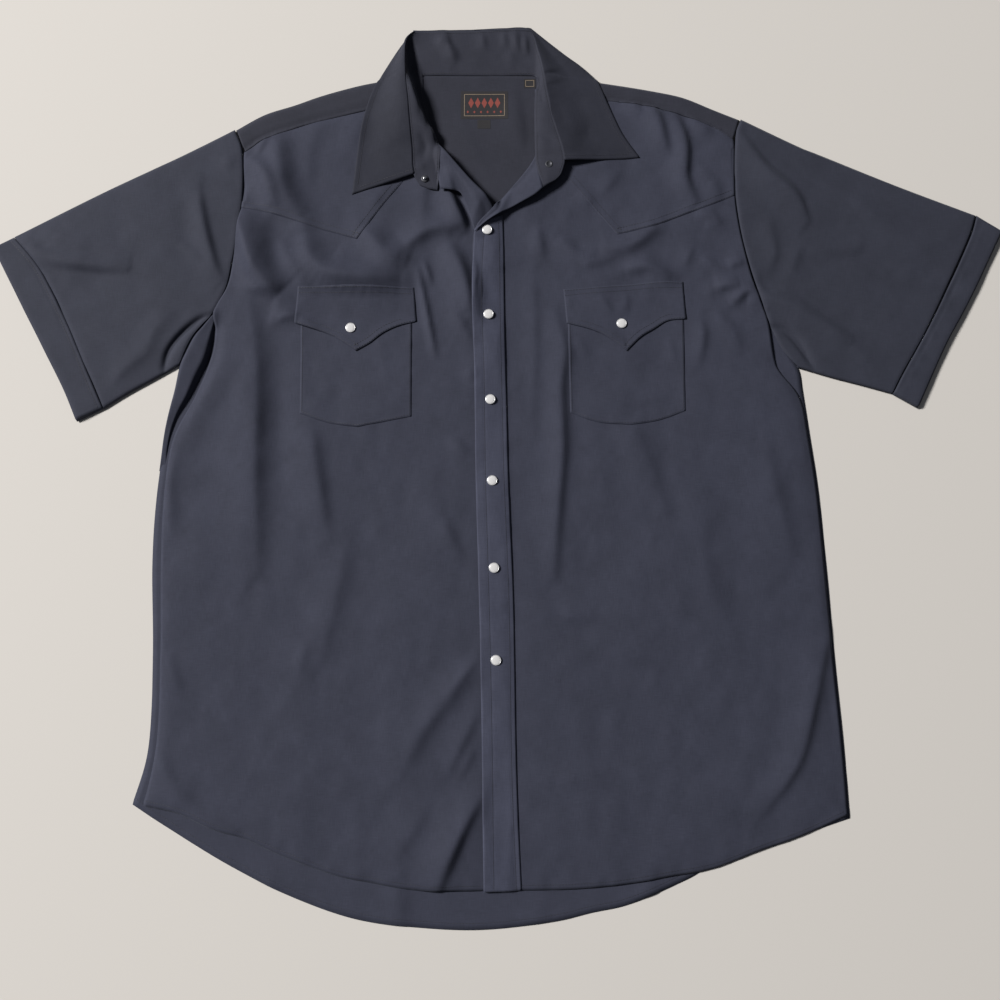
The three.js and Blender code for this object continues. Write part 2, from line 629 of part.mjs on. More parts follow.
// The unfastened collar snap: the stud on the left end of the stand and the socket on the right one
roundPiece('collar_stud', -80.5, 294, [[0, 0], [STUD_RADIUS, 0], [STUD_RADIUS, 0.8], [2, 1.1], [1.7, 2.4],
  [2, STUD_HEIGHT - 0.3], [1.4, STUD_HEIGHT], [0, STUD_HEIGHT]], steel);
roundPiece('collar_socket', 52.5, 309.2, [[0, 0], [STUD_RADIUS, 0], [STUD_RADIUS, 1],
  [STUD_RADIUS - 0.6, SOCKET_HEIGHT], [2.2, SOCKET_HEIGHT], [1.9, 0.7], [0, 0.7]], steel);

// Woven labels, sewn inside the back of the neck
function label(name, left, bottom, width, height) {
  const geometry = new THREE.BoxGeometry(width, height, LABEL_THICKNESS);
  const mesh = add(name, geometry, woven);
  mesh.position.set(left + width / 2, bottom + height / 2, BACK_TOP + LABEL_THICKNESS / 2);
}

label('neck_label', -43, 366, 52, 33);
label('size_label', -25, 355, 15, 10.5);
label('care_label', 25, 402, 13, 11);

export default shirt;
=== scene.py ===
from collections import namedtuple

import bpy
import numpy as np
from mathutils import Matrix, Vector
from mathutils.bvhtree import BVHTree


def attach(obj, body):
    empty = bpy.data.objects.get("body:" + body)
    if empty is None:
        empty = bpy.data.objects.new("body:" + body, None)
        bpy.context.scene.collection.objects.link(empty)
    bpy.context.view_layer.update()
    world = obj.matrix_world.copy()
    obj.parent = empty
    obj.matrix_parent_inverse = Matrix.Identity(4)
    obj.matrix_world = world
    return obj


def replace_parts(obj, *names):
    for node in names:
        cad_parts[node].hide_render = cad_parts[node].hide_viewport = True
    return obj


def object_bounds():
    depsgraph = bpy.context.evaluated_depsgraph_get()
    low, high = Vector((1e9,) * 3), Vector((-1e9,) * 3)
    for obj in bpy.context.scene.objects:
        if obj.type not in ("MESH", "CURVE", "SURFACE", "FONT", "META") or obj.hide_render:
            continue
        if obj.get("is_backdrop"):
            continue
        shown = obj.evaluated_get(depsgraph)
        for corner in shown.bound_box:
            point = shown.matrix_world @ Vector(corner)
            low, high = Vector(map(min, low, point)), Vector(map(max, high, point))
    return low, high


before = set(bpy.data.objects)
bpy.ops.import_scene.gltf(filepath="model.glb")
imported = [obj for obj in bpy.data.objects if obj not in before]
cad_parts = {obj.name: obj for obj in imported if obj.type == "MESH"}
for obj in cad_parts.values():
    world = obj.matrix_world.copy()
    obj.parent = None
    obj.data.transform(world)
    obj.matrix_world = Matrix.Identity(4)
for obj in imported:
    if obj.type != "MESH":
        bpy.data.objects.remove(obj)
cad_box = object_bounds()

# The surface that the shirt lies on, the daylight that falls on it low from the left, and the
# camera, which looks down from just short of overhead on the hem's side.
FLOOR_TONE = (0.60, 0.575, 0.54)
FLOOR_ROUGHNESS = 0.9
FLOOR_REACH = 4
DAYLIGHT_TONE = (1.0, 0.98, 0.96)
DAYLIGHT_SIZE = 2.6
DAYLIGHT_POWER = 1760
LIGHT_FROM = Vector((-7.6, 3.0, 6.6))
ROOM_TONE = (0.86, 0.9, 1.0)
ROOM_STRENGTH = 0.10
EYE = Vector((0, -0.1959, 1.0239))
LOOK_AT = Vector((0, -0.052, 0))
LENS = 36.1
FILM = 36


def shaded(name, roughness):
    """A new finish, as its material, nodes, links and shader."""
    finish = bpy.data.materials.new(name)
    finish.use_nodes = True
    nodes = finish.node_tree.nodes
    shader = nodes["Principled BSDF"]
    shader.inputs["Roughness"].default_value = roughness
    return finish, nodes, finish.node_tree.links, shader


def made_mesh(name, places, faces, finish, smooth=False):
    """An object in the scene, of places in metres and faces, with its finish."""
    mesh = bpy.data.meshes.new(name)
    mesh.from_pydata(places, [], faces)
    mesh.polygons.foreach_set("use_smooth", np.full(len(faces), smooth))
    mesh.materials.append(finish)
    thing = bpy.data.objects.new(name, mesh)
    bpy.context.scene.collection.objects.link(thing)
    return thing


def aimed(name, data, place, target):
    """A light or camera at a place, turned to a target."""
    thing = bpy.data.objects.new(name, data)
    bpy.context.scene.collection.objects.link(thing)
    thing.location = place
    thing.rotation_euler = (target - place).to_track_quat("-Z", "Y").to_euler()
    return thing


floor_finish, _, _, floor_shader = shaded("pale_floor", FLOOR_ROUGHNESS)
floor_shader.inputs["Base Color"].default_value = (*FLOOR_TONE, 1)
floor_corners = [(x * FLOOR_REACH, y * FLOOR_REACH, 0) for x, y in ((-1, -1), (1, -1), (1, 1), (-1, 1))]
made_mesh("floor", floor_corners, [(0, 1, 2, 3)], floor_finish)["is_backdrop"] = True

daylight = bpy.data.lights.new("daylight", "AREA")
daylight.shape = "DISK"
daylight.size = DAYLIGHT_SIZE
daylight.energy = DAYLIGHT_POWER
daylight.color = DAYLIGHT_TONE
aimed("daylight", daylight, LIGHT_FROM, Vector((0, 0, 0)))
room = bpy.data.worlds.new("room")
room.use_nodes = True
sky = room.node_tree.nodes["Background"]
sky.inputs["Color"].default_value = (*ROOM_TONE, 1)
sky.inputs["Strength"].default_value = ROOM_STRENGTH
bpy.context.scene.world = room
bpy.context.scene.view_settings.view_transform = "Standard"
lens = bpy.data.cameras.new("camera")
lens.lens = LENS
lens.sensor_width = FILM
bpy.context.scene.camera = aimed("camera", lens, EYE, LOOK_AT)

# Back panel: one piece of cloth from the shirt-tail hem up to the yoke seam. It lies flat on the surface,
# and its hem, turned up twice and stitched, shows below the fronts.
MM = 0.001
CLOTH = 0.55
GAP = 0.12
AWAY_FROM_LIGHT = np.array([0.93, -0.37])
Crease = namedtuple("Crease", "line height gentle steep")


def curved(a, b, c, d, t):
    """The smooth curve from b to c at the shares t. It comes from a and goes on to d."""
    return 0.5 * (2 * b + (c - a) * t + (2 * a - 5 * b + 4 * c - d) * t ** 2
                  + (3 * b - a - 3 * c + d) * t ** 3)


def mixed(f, g, a, b, c, d):
    """Four corners mixed: a with b and c with d by the share f, then the two results by the share g."""
    return (1 - g) * ((1 - f) * a + f * b) + g * ((1 - f) * c + f * d)


def trail(points, steps, corners=()):
    """A line of steps + 1 places through the points, smooth except where it turns at a corner."""
    points = np.asarray(points, float)
    stops = [0, *corners, len(points) - 1]
    runs = []
    for first, last in zip(stops[:-1], stops[1:]):
        part = points[first:last + 1]
        padded = np.vstack([2 * part[0] - part[1], part, 2 * part[-1] - part[-2]])
        t = np.linspace(0, 1, 16, endpoint=False)[:, None]
        dense = [curved(*four, t) for four in zip(padded, padded[1:], padded[2:], padded[3:])]
        runs.append(np.vstack([*dense, part[-1:]]))
    lengths = [np.linalg.norm(np.diff(run, axis=0), axis=1).sum() for run in runs]
    marks = np.round(np.cumsum([0, *lengths]) / sum(lengths) * steps).astype(int)
    pieces = []
    for run, count in zip(runs, np.diff(marks)):
        walked = np.r_[0, np.cumsum(np.linalg.norm(np.diff(run, axis=0), axis=1))]
        at = np.linspace(0, walked[-1], max(1, count) + 1)
        pieces.append(np.column_stack([np.interp(at, walked, run[:, k]) for k in range(run.shape[1])])[:-1])
    return np.vstack([*pieces, points[-1:]])


def panel(left, right, start, end, across, along, corners=()):
    """The plan of a piece of cloth between its four edges, as grids of x and y. Corners are the start's."""
    left, right = trail(left, along), trail(right, along)
    start, end = trail(start, across, corners), trail(end, across)
    u = np.linspace(0, 1, across + 1)[None, :, None]
    v = np.linspace(0, 1, along + 1)[:, None, None]
    sides = (1 - u) * left[:, None] + u * right[:, None]
    ends = (1 - v) * start[None] + v * end[None]
    plan = sides + ends - mixed(u, v, left[0], right[0], left[-1], right[-1])
    return plan[..., 0], plan[..., 1]


def nearest(x, y, line):
    """How far each place is from a line, how far away from the light it lies, and its share of the line."""
    line = np.asarray(line, float)[:, :2]
    steps = np.diff(line, axis=0)
    sizes = np.maximum(np.hypot(steps[:, 0], steps[:, 1]), 1e-6)
    walked = np.r_[0, np.cumsum(sizes)]
    best, beyond, share = np.full(x.shape, 1e6), np.zeros(x.shape), np.zeros(x.shape)
    for (px, py), (dx, dy), size, so_far in zip(line, steps, sizes, walked):
        t = np.clip(((x - px) * dx + (y - py) * dy) / size ** 2, 0, 1)
        ex, ey = x - px - t * dx, y - py - t * dy
        away = np.hypot(ex, ey)
        closer = away < best
        best = np.where(closer, away, best)
        beyond = np.where(closer, ex * AWAY_FROM_LIGHT[0] + ey * AWAY_FROM_LIGHT[1], beyond)
        share = np.where(closer, (so_far + t * size) / walked[-1], share)
    return best, beyond, share


def creased(x, y, creases):
    """Ridges and troughs laid along given lines: gentle towards the light, steep away from it, fading at the
    ends.
    """
    z = np.zeros_like(x)
    for line, height, gentle, steep in creases:
        reach = 3 * max(gentle, steep)
        low, high = np.min(line, axis=0) - reach, np.max(line, axis=0) + reach
        inside = (x > low[0]) & (x < high[0]) & (y > low[1]) & (y < high[1])
        if not inside.any():
            continue
        away, beyond, share = nearest(x[inside], y[inside], trail(line, 5 * len(line)))
        width = steep + (gentle - steep) / (1 + np.exp(beyond / 1.5))
        fade = np.sin(np.pi * (0.04 + 0.92 * share)) ** 0.6
        z[inside] += height * fade * np.exp(-(away / width) ** 1.7)
    return z


LATTICE = 128


def rumpled(x, y, size, height, seed, stretch=1.0):
    """Soft unevenness: smooth random hills of about one size, drawn out along Y by the stretch."""
    lattice = np.random.default_rng(seed).uniform(-1, 1, (LATTICE, LATTICE))
    u, v = x / size + LATTICE / 2, y / (size * stretch) + LATTICE / 2
    i, j = np.floor(u).astype(int), np.floor(v).astype(int)
    f, g = u - i, v - j
    f, g = f * f * (3 - 2 * f), g * g * (3 - 2 * g)
    corner = lambda di, dj: lattice[(i + di) % LATTICE, (j + dj) % LATTICE]
    return height * ((1 - f) * (1 - g) * corner(0, 0) + f * (1 - g) * corner(1, 0)
                     + (1 - f) * g * corner(0, 1) + f * g * corner(1, 1))


HEM_SLOPE = 0.5
HEM_EDGE = 0.8
HEM_STITCHES = 1.2
HEM_STITCH_DEPTH = 0.6


def turned_hem(x, y, line, width, height):
    """The raised band of an edge turned under, sunk a little at its stitching and rounded at the edge."""
    away = nearest(x, y, line)[0]
    band = height / (1 + np.exp((away - width) / HEM_SLOPE))
    sunk = HEM_STITCH_DEPTH * height * np.exp(-(away - width + HEM_STITCHES) ** 2)
    return band - sunk - height * np.exp(-(away / HEM_EDGE) ** 2)


PUCKER_REACH = 5.0


def puckered(x, y, line, inset, depth, pitch, seed):
    """Small ripples across a row of stitching that runs inset from a line, dying out on both sides of it."""
    away, _, share = nearest(x, y, line)
    length = np.linalg.norm(np.diff(np.asarray(line, float), axis=0), axis=1).sum()
    chance = np.random.default_rng(seed)
    knots = chance.uniform(-1, 1, max(4, int(length / pitch)))
    ripple = np.interp(share * (len(knots) - 1), np.arange(len(knots)), knots)
    return depth * ripple * np.exp(-((away - inset) / PUCKER_REACH) ** 2)


# The bed is the height of the uppermost cloth so far, on squares of 2 mm.
BED_CELL = 2.0
BED_CORNER = (-560.0, -495.0)
BED_SHAPE = (496, 561)
PRESS_SPOTS = (0, 0.33, 0.67, 1)
bed = np.zeros(BED_SHAPE)


def bed_places(x, y):
    """Rows and columns of the bed, with fractions."""
    return (y - BED_CORNER[1]) / BED_CELL, (x - BED_CORNER[0]) / BED_CELL


def held_up(x, y, bridging=2, stitched_flat=False):
    """How high the cloth below holds a new sheet, which bridges narrow steps unless it is stitched flat."""
    top = bed.copy()
    for axis in () if stitched_flat else (0, 1):
        top = np.maximum(top, np.maximum(np.roll(top, 1, axis), np.roll(top, -1, axis)))
    soft = top
    for _ in range(bridging):
        for axis in (0, 1):
            soft = (np.roll(soft, 1, axis) + 2 * soft + np.roll(soft, -1, axis)) / 4
    soft = np.maximum(soft, top)
    row, column = bed_places(x, y)
    j, i = np.clip(row.astype(int), 0, bed.shape[0] - 2), np.clip(column.astype(int), 0, bed.shape[1] - 2)
    g, f = np.clip(row - j, 0, 1), np.clip(column - i, 0, 1)
    return mixed(f, g, soft[j, i], soft[j, i + 1], soft[j + 1, i], soft[j + 1, i + 1])


def press(x, y, z):
    """Adds a sheet's top to the bed."""
    for s in PRESS_SPOTS:
        for t in PRESS_SPOTS:
            within = lambda a: mixed(t, s, a[:-1, :-1], a[:-1, 1:], a[1:, :-1], a[1:, 1:])
            row, column = bed_places(within(x), within(y))
            np.maximum.at(bed, (np.round(row).astype(int), np.round(column).astype(int)), within(z))


def toned(nodes, links, pattern, shader, dark, light, dark_at=0.0, light_at=1.0):
    """Colours a shader between a dark and a light tone by a pattern's value."""
    ramp = nodes.new("ShaderNodeValToRGB")
    for stop, tone, at in zip(ramp.color_ramp.elements, (dark, light), (dark_at, light_at)):
        stop.position = at
        stop.color = (*tone, 1)
    links.new(pattern, ramp.inputs["Fac"])
    links.new(ramp.outputs["Color"], shader.inputs["Base Color"])


def woven_cotton(name, tone, grain=0.0):
    """Plain-weave cotton: threads across each other, uneven slubs, soft mottling and a faint sheen."""
    finish, nodes, links, shader = shaded(name, 0.78)
    shader.inputs["Specular IOR Level"].default_value = 0.2
    shader.inputs["Sheen Weight"].default_value = 0.08
    shader.inputs["Sheen Roughness"].default_value = 0.45
    shader.inputs["Sheen Tint"].default_value = (0.62, 0.68, 0.85, 1)
    place = nodes.new("ShaderNodeTexCoord")

    def pattern(kind, scale, **settings):
        mapping = nodes.new("ShaderNodeMapping")
        mapping.inputs["Rotation"].default_value = (0, 0, grain)
        mapping.inputs["Scale"].default_value = scale
        links.new(place.outputs["Object"], mapping.inputs["Vector"])
        texture = nodes.new(kind)
        links.new(mapping.outputs["Vector"], texture.inputs["Vector"])
        for key, value in settings.items():
            texture.inputs[key].default_value = value
        return texture

    def blended(kind, first, second, amount=None):
        node = nodes.new("ShaderNodeMath")
        node.operation = kind
        for socket, source in zip(node.inputs, (first, second, amount)):
            if source is None:
                continue
            if isinstance(source, (int, float)):
                socket.default_value = source
            else:
                links.new(source, socket)
        return node.outputs[0]

    warp = pattern("ShaderNodeTexNoise", (1500, 90, 1), Scale=1.0, Detail=2.0)
    weft = pattern("ShaderNodeTexNoise", (90, 1500, 1), Scale=1.0, Detail=2.0)
    mottle = pattern("ShaderNodeTexNoise", (1, 1, 1), Scale=38.0, Detail=5.0)
    threads = blended("ADD", warp.outputs["Fac"], weft.outputs["Fac"])
    shade = blended("MULTIPLY_ADD", threads, 0.55, blended("MULTIPLY", mottle.outputs["Fac"], 0.4))
    toned(nodes, links, shade, shader, [0.74 * c for c in tone], [1.3 * c for c in tone], 0.35)
    over, under = (pattern("ShaderNodeTexWave", (1, 1, 1), Scale=620.0, Distortion=1.5) for _ in range(2))
    under.bands_direction = "Y"
    weave = blended("MAXIMUM", over.outputs["Fac"], under.outputs["Fac"])
    bump = nodes.new("ShaderNodeBump")
    bump.inputs["Strength"].default_value = 0.35
    bump.inputs["Distance"].default_value = 0.00018
    links.new(blended("ADD", weave, threads), bump.inputs["Height"])
    links.new(bump.outputs["Normal"], shader.inputs["Normal"])
    return finish


def grid_faces(shape, first=0):
    """Quads over a grid of rows and columns, which face up on a left-to-right, low-to-high plan."""
    rows, columns = shape
    a = (np.arange(rows - 1)[:, None] * columns + np.arange(columns - 1)).ravel() + first
    return np.column_stack([a, a + 1, a + columns + 1, a + columns])


surfaces = {}


def sewn_mesh(name, grids, finish, thickness=CLOTH, smooth=True):
    """One cloth object of (x, y, z) grids, which give its top; the cloth's thickness hangs below."""
    places, faces, first = [], [], 0
    for x, y, z in grids:
        quads = grid_faces(x.shape, first)
        if np.sum(np.diff(x, axis=1)[:-1] * np.diff(y, axis=0)[:, :-1]
                  - np.diff(y, axis=1)[:-1] * np.diff(x, axis=0)[:, :-1]) < 0:
            quads = quads[:, ::-1]
        places.append(np.column_stack([x.ravel(), y.ravel(), z.ravel()]) * MM)
        faces.append(quads)
        first += x.size
    places, faces = np.vstack(places), np.vstack(faces)
    piece = made_mesh(name, places.tolist(), faces.tolist(), finish, smooth)
    wall = piece.modifiers.new("thickness", "SOLIDIFY")
    wall.thickness = thickness * MM
    wall.offset = -1
    surfaces[name] = BVHTree.FromPolygons(places.tolist(), faces.tolist())
    return piece


def sewn_piece(name, node, grids, finish, thickness=CLOTH):
    """A cloth piece on the root body that stands for its node."""
    piece = sewn_mesh(name, grids, finish, thickness)
    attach(piece, "root")
    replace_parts(piece, node)


def beside(line, inset):
    """A line moved sideways, to the left of its own direction."""
    line = np.asarray(line, float)
    heading = np.gradient(line, axis=0)
    heading /= np.maximum(np.linalg.norm(heading, axis=1), 1e-6)[:, None]
    return line + inset * np.column_stack([-heading[:, 1], heading[:, 0]])


def tube_faces(first, sides, rings):
    """The faces of a closed tube whose places come ring after ring, counted from the first."""
    last = first + sides * (rings - 1)
    faces = [tuple(range(first, first + sides))[::-1], tuple(range(last, last + sides))]
    for ring in range(first, last, sides):
        for k in range(sides):
            a, b = ring + k, ring + (k + 1) % sides
            faces.append((a, b, b + sides, a + sides))
    return faces


def top_of(cloth, x, y):
    """Where a plumb line dropped at a place meets a cloth piece, if it does."""
    return surfaces[cloth].ray_cast(Vector((x * MM, y * MM, 0.1)), Vector((0, 0, -1)))[0]


THREAD_TONE = (0.028, 0.029, 0.038)
STITCH_LENGTH = 2.2
STITCH_PITCH = 3.0
STITCH_WIDTH = 0.36
STITCH_TAPER = 0.4
STITCH_DEPTHS = (-0.1, 0.02, 0.02, -0.1)
STITCH_SECTION = [(-0.5, 0.0), (-0.3, 0.75), (0.3, 0.75), (0.5, 0.0)]
STEEPEST_STITCH = 1.5
thread, thread_nodes, thread_links, thread_shader = shaded("thread", 0.55)
twist = thread_nodes.new("ShaderNodeTexNoise")
twist.inputs["Scale"].default_value = 700
toned(thread_nodes, thread_links, twist.outputs["Fac"], thread_shader,
      [0.7 * c for c in THREAD_TONE], [1.4 * c for c in THREAD_TONE])


def stitching(name, lines, on):
    """Rows of stitches along the lines, each a small rounded bar of thread lying on the cloth."""
    places, faces = [], []
    for line in lines:
        line = np.asarray(line, float)[:, :2]
        walked = np.r_[0, np.cumsum(np.linalg.norm(np.diff(line, axis=0), axis=1))]
        for k in range(int(walked[-1] / STITCH_PITCH)):
            start = k * STITCH_PITCH + STITCH_TAPER
            ends = []
            for at in (start, start + STITCH_LENGTH):
                x, y = np.interp(at, walked, line[:, 0]), np.interp(at, walked, line[:, 1])
                hits = [hit for hit in (top_of(cloth, x, y) for cloth in on) if hit]
                if not hits:
                    break
                ends.append(max(hits, key=lambda hit: hit.z) / MM)
            if len(ends) < 2 or abs(ends[0].z - ends[1].z) > STEEPEST_STITCH:
                continue
            heading = (ends[1] - ends[0]).normalized()
            side = heading.cross(Vector((0, 0, 1))).normalized()
            centres = (ends[0], ends[0] + heading * STITCH_TAPER, ends[1] - heading * STITCH_TAPER, ends[1])
            faces += tube_faces(len(places), len(STITCH_SECTION), len(STITCH_DEPTHS))
            for centre, depth in zip(centres, STITCH_DEPTHS):
                places += [centre + side * (w * STITCH_WIDTH) + Vector((0, 0, h * STITCH_WIDTH + depth))
                           for w, h in STITCH_SECTION]
    piece = made_mesh(name, [tuple(p * MM) for p in places], faces, thread)
    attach(piece, "root")


BODY_TONE = (0.0332, 0.0360, 0.0550)
body_cloth = woven_cotton("charcoal_body", BODY_TONE)
back_left = [(-363, -356), (-350, -300), (-350, -210), (-355, -120), (-354, -50), (-347, 20), (-339, 64),
             (-335, 90), (-321, 122), (-301, 148), (-288, 175), (-283, 202), (-278, 240)]
back_right = [(345, -369), (343, -312), (338, -225), (334, -140), (329, -50), (322, 15), (317, 62),
              (314, 86), (302, 108), (289, 137), (277, 165), (266, 197), (255, 242)]
back_hem = [(-363, -356), (-331, -376), (-267, -413), (-204, -443), (-141, -464), (-79, -472), (-18, -474),
            (49, -467), (90, -458), (127, -450), (183, -427), (212, -412), (278, -391), (345, -369)]
yoke_seam = [(-278, 240), (-210, 238), (-142, 230), (-76, 216), (-10, 200), (56, 216), (122, 231),
             (188, 239), (255, 242)]
back_creases = [
    Crease([(-101, -420), (-97, -450), (-98, -474)], 2.2, 16, 5),
    Crease([(146, -424), (151, -444)], 1.6, 10, 5),
    Crease([(-230, -420), (-215, -440)], 1.0, 12, 7),
    Crease([(40, -440), (36, -470)], 0.9, 14, 8)]
x, y = panel(back_left, back_right, back_hem, yoke_seam, 120, 120)
z = CLOTH + 0.1 + creased(x, y, back_creases) + np.abs(rumpled(x, y, 70, 0.4, 3))
z += turned_hem(x, y, trail(back_hem, 60), 7, 0.5) + puckered(x, y, trail(back_hem, 60), 6, 0.35, 11, 4)
z = np.maximum(z, CLOTH + 0.05)
press(x, y, z)
# The back's left side swells up beside the front. Each row is its outer place, inner place and height.
side_bulge = [(-303, 147, -299.5, 143, 2.0), (-313, 133, -301, 128, 5.5), (-322, 121, -302, 113, 8.0),
              (-330, 104, -305.5, 95, 9.0), (-335.5, 89, -314, 76, 9.0), (-340, 63, -324, 55, 7.0),
              (-345.5, 38, -335.5, 35, 4.5), (-349.5, 13, -342.5, 12, 2.6), (-352.5, -22, -346, -20, 0.2)]
rows, u = trail(side_bulge, 90), np.linspace(0, 1, 17)
bulge_x = rows[:, :1] * (1 - u) + rows[:, 2:3] * u
bulge_y = rows[:, 1:2] * (1 - u) + rows[:, 3:4] * u
rising = 1 - np.exp(-u / 0.05)
falling = (1 - 0.4 * u) / (1 + np.exp((u - 0.88) / 0.035))
bulge_z = CLOTH + 0.15 + rows[:, 4:] * rising * falling
bulge_z += rumpled(bulge_x, bulge_y, 16, 0.5, 6) * np.sin(np.pi * u)
press(bulge_x, bulge_y, bulge_z)
back_grids = [(x, y, z), (bulge_x, bulge_y, bulge_z)]
sewn_piece("back_panel", "back", back_grids, body_cloth)
stitching("back_hem_stitches", [beside(trail(back_hem, 200), 6.2)], ["back_panel"])

# Back yoke: the double piece across the shoulders. Its inside shows in the open neck, and its front edge
# wraps over both shoulders to the shoulder seams, which is laid on later, over the fronts.
YOKE_TONE = (0.0250, 0.0262, 0.0375)
yoke_cloth = woven_cotton("charcoal_yoke", YOKE_TONE, 1.5708)
yoke_left = [(-278, 240.6), (-274.5, 280), (-276.5, 327), (-286.5, 353)]
yoke_right = [(255, 242.6), (251.5, 285), (253.5, 343), (260.5, 365)]
yoke_end = [(-286.5, 353), (-256, 371), (-224, 382), (-192, 394), (-150, 406), (-112, 413), (-84, 416.5),
            (-28, 416.5), (28, 416.5), (40, 416), (84, 412), (124, 406), (164, 399), (199, 391), (232, 377),
            (260.5, 365)]
yoke_creases = [
    Crease([(14, 392), (20, 360), (24, 335)], 1.4, 16, 7),
    Crease([(-40, 355), (-30, 330), (-12, 300)], 0.8, 18, 9),
    Crease([(30, 410), (34, 360), (30, 330)], -0.8, 8, 6)]
x, y = panel(yoke_left, yoke_right, [(px, py + 0.6) for px, py in yoke_seam], yoke_end, 180, 72)
z = CLOTH + 0.12 + np.maximum(0, creased(x, y, yoke_creases) + rumpled(x, y, 40, 0.35, 5) + 0.3)
back_yoke_grid = (x, y, z)
press(x, y, z)

# Neck, size and care labels: small woven tapes sewn inside the back of the neck. They carry no lettering;
# the largest has a woven frame and a row of plain lozenges.
LABEL_GROUND = (0.0110, 0.0098, 0.0120)
LABEL_RUST = (0.20, 0.040, 0.030)
LABEL_SAND = (0.22, 0.17, 0.12)
TAPE_CLOTH = 0.2
MARK_DEPTHS = (-0.00008, 0.00010)


def woven_tape(name, tone):
    """Satin-woven tape, finely speckled by its threads."""
    finish, nodes, links, shader = shaded(name, 0.6)
    place = nodes.new("ShaderNodeTexCoord")
    grain = nodes.new("ShaderNodeTexNoise")
    grain.inputs["Scale"].default_value = 900
    links.new(place.outputs["Object"], grain.inputs["Vector"])
    toned(nodes, links, grain.outputs["Fac"], shader, [0.55 * c for c in tone], [1.5 * c for c in tone])
    return finish


tape_ground, tape_rust, tape_sand = (
    woven_tape(name, tone) for name, tone in
    (("tape_ground", LABEL_GROUND), ("tape_rust", LABEL_RUST), ("tape_sand", LABEL_SAND)))


def sewn_label(name, node, left, bottom, width, height):
    """A bare tape that stands for its label's node."""
    x, y = np.meshgrid(np.linspace(left, left + width, 18), np.linspace(bottom, bottom + height, 12))
    z = held_up(x, y, 0, True) + 0.15
    piece = sewn_mesh(name, [(x, y, z)], tape_ground, TAPE_CLOTH, False)
    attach(piece, "root")
    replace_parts(piece, node)


def woven_marks(name, marks, finish, on):
    """Raised woven marks on a label, each a closed outline of four or more places."""
    places, faces = [], []
    for mark in marks:
        faces += tube_faces(len(places), len(mark), len(MARK_DEPTHS))
        spots = [top_of(on, x, y) for x, y in mark]
        places += [spot + Vector((0, 0, lift)) for lift in MARK_DEPTHS for spot in spots]
    piece = made_mesh(name, [tuple(p) for p in places], faces, finish)
    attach(piece, "root")


def bars(left, bottom, right, top, width, pieces=6):
    """A frame of four bars, each cut into short pieces so that it follows the label."""
    marks = []
    for (x0, y0), (x1, y1) in (((left, bottom), (right, bottom)), ((left, top), (right, top)),
                               ((left, bottom), (left, top)), ((right, bottom), (right, top))):
        across = (0, width / 2) if y0 == y1 else (width / 2, 0)
        for k in range(pieces):
            ax, bx = (x0 + (x1 - x0) * t / pieces for t in (k, k + 1))
            ay, by = (y0 + (y1 - y0) * t / pieces for t in (k, k + 1))
            marks.append([(ax - across[0], ay - across[1]), (bx - across[0], by - across[1]),
                          (bx + across[0], by + across[1]), (ax + across[0], ay + across[1])])
    return marks


def lozenge(x, y, half_width, half_height):
    """The outline of an upright lozenge about a place."""
    return [(x - half_width, y), (x, y - half_height), (x + half_width, y), (x, y + half_height)]


sewn_label("neck_tape", "neck_label", -42.6, 366.4, 51.2, 32.2)
woven_marks("neck_tape_frame", bars(-38.8, 370, 4.8, 395, 0.6), tape_sand, "neck_tape")
woven_marks("neck_tape_motif", [lozenge(-31.5 + 7.2 * k, 385, 3.1, 6.2) for k in range(5)]
            + [lozenge(-35.1 + 7.2 * k, 374.5, 1.3, 1.6) for k in range(6)], tape_rust, "neck_tape")
sewn_label("size_tape", "size_label", -24.6, 355.2, 14.2, 10.1)
sewn_label("care_tape", "care_label", 26.2, 402.8, 12.6, 10.6)
woven_marks("care_tape_edge", bars(28, 404.6, 37, 411.6, 0.5, 3), tape_sand, "care_tape")

# Fronts: the right one laps over the left one. Each lies on the back with a little air under it, and the
# creases are those the laid shirt shows. Their top corners are rolled open along the neck like lapels.
PUFF = 2.6
CREASE_DEPTH = 1.6
LEFT_NECK_LIFT = 10.6
LEFT_NECK_REACH = 12
UNDER_STAND = 0.62
RIGHT_NECK_LIFT = 3.6
RIGHT_NECK_REACH = 18
FRONT_UNEVENNESS = ((85, 1.2, 1.7), (34, 0.9, 1.6), (14, 0.34, 1.5), (7, 0.11, 1.5))
front_cloth = woven_cotton("charcoal_front", BODY_TONE, 0.02)


def front_height(x, y, edges, creases, seed):
    """A front over what lies below: low at its sewn edges, swelling inwards, with its creases."""
    near_edge = np.min([nearest(x, y, edge)[0] for edge in edges], axis=0)
    swell = 0.12 + 0.88 * (1 - np.exp(-near_edge / 9))
    z = held_up(x, y, 4) + GAP + CLOTH + swell * PUFF
    uneven = sum(rumpled(x, y, size, height, seed + k, stretch)
                 for k, (size, height, stretch) in enumerate(FRONT_UNEVENNESS))
    z += CREASE_DEPTH * creased(x, y, creases) + np.minimum(1, near_edge / 8) * uneven
    return np.maximum(z, held_up(x, y, 0) + GAP + CLOTH)


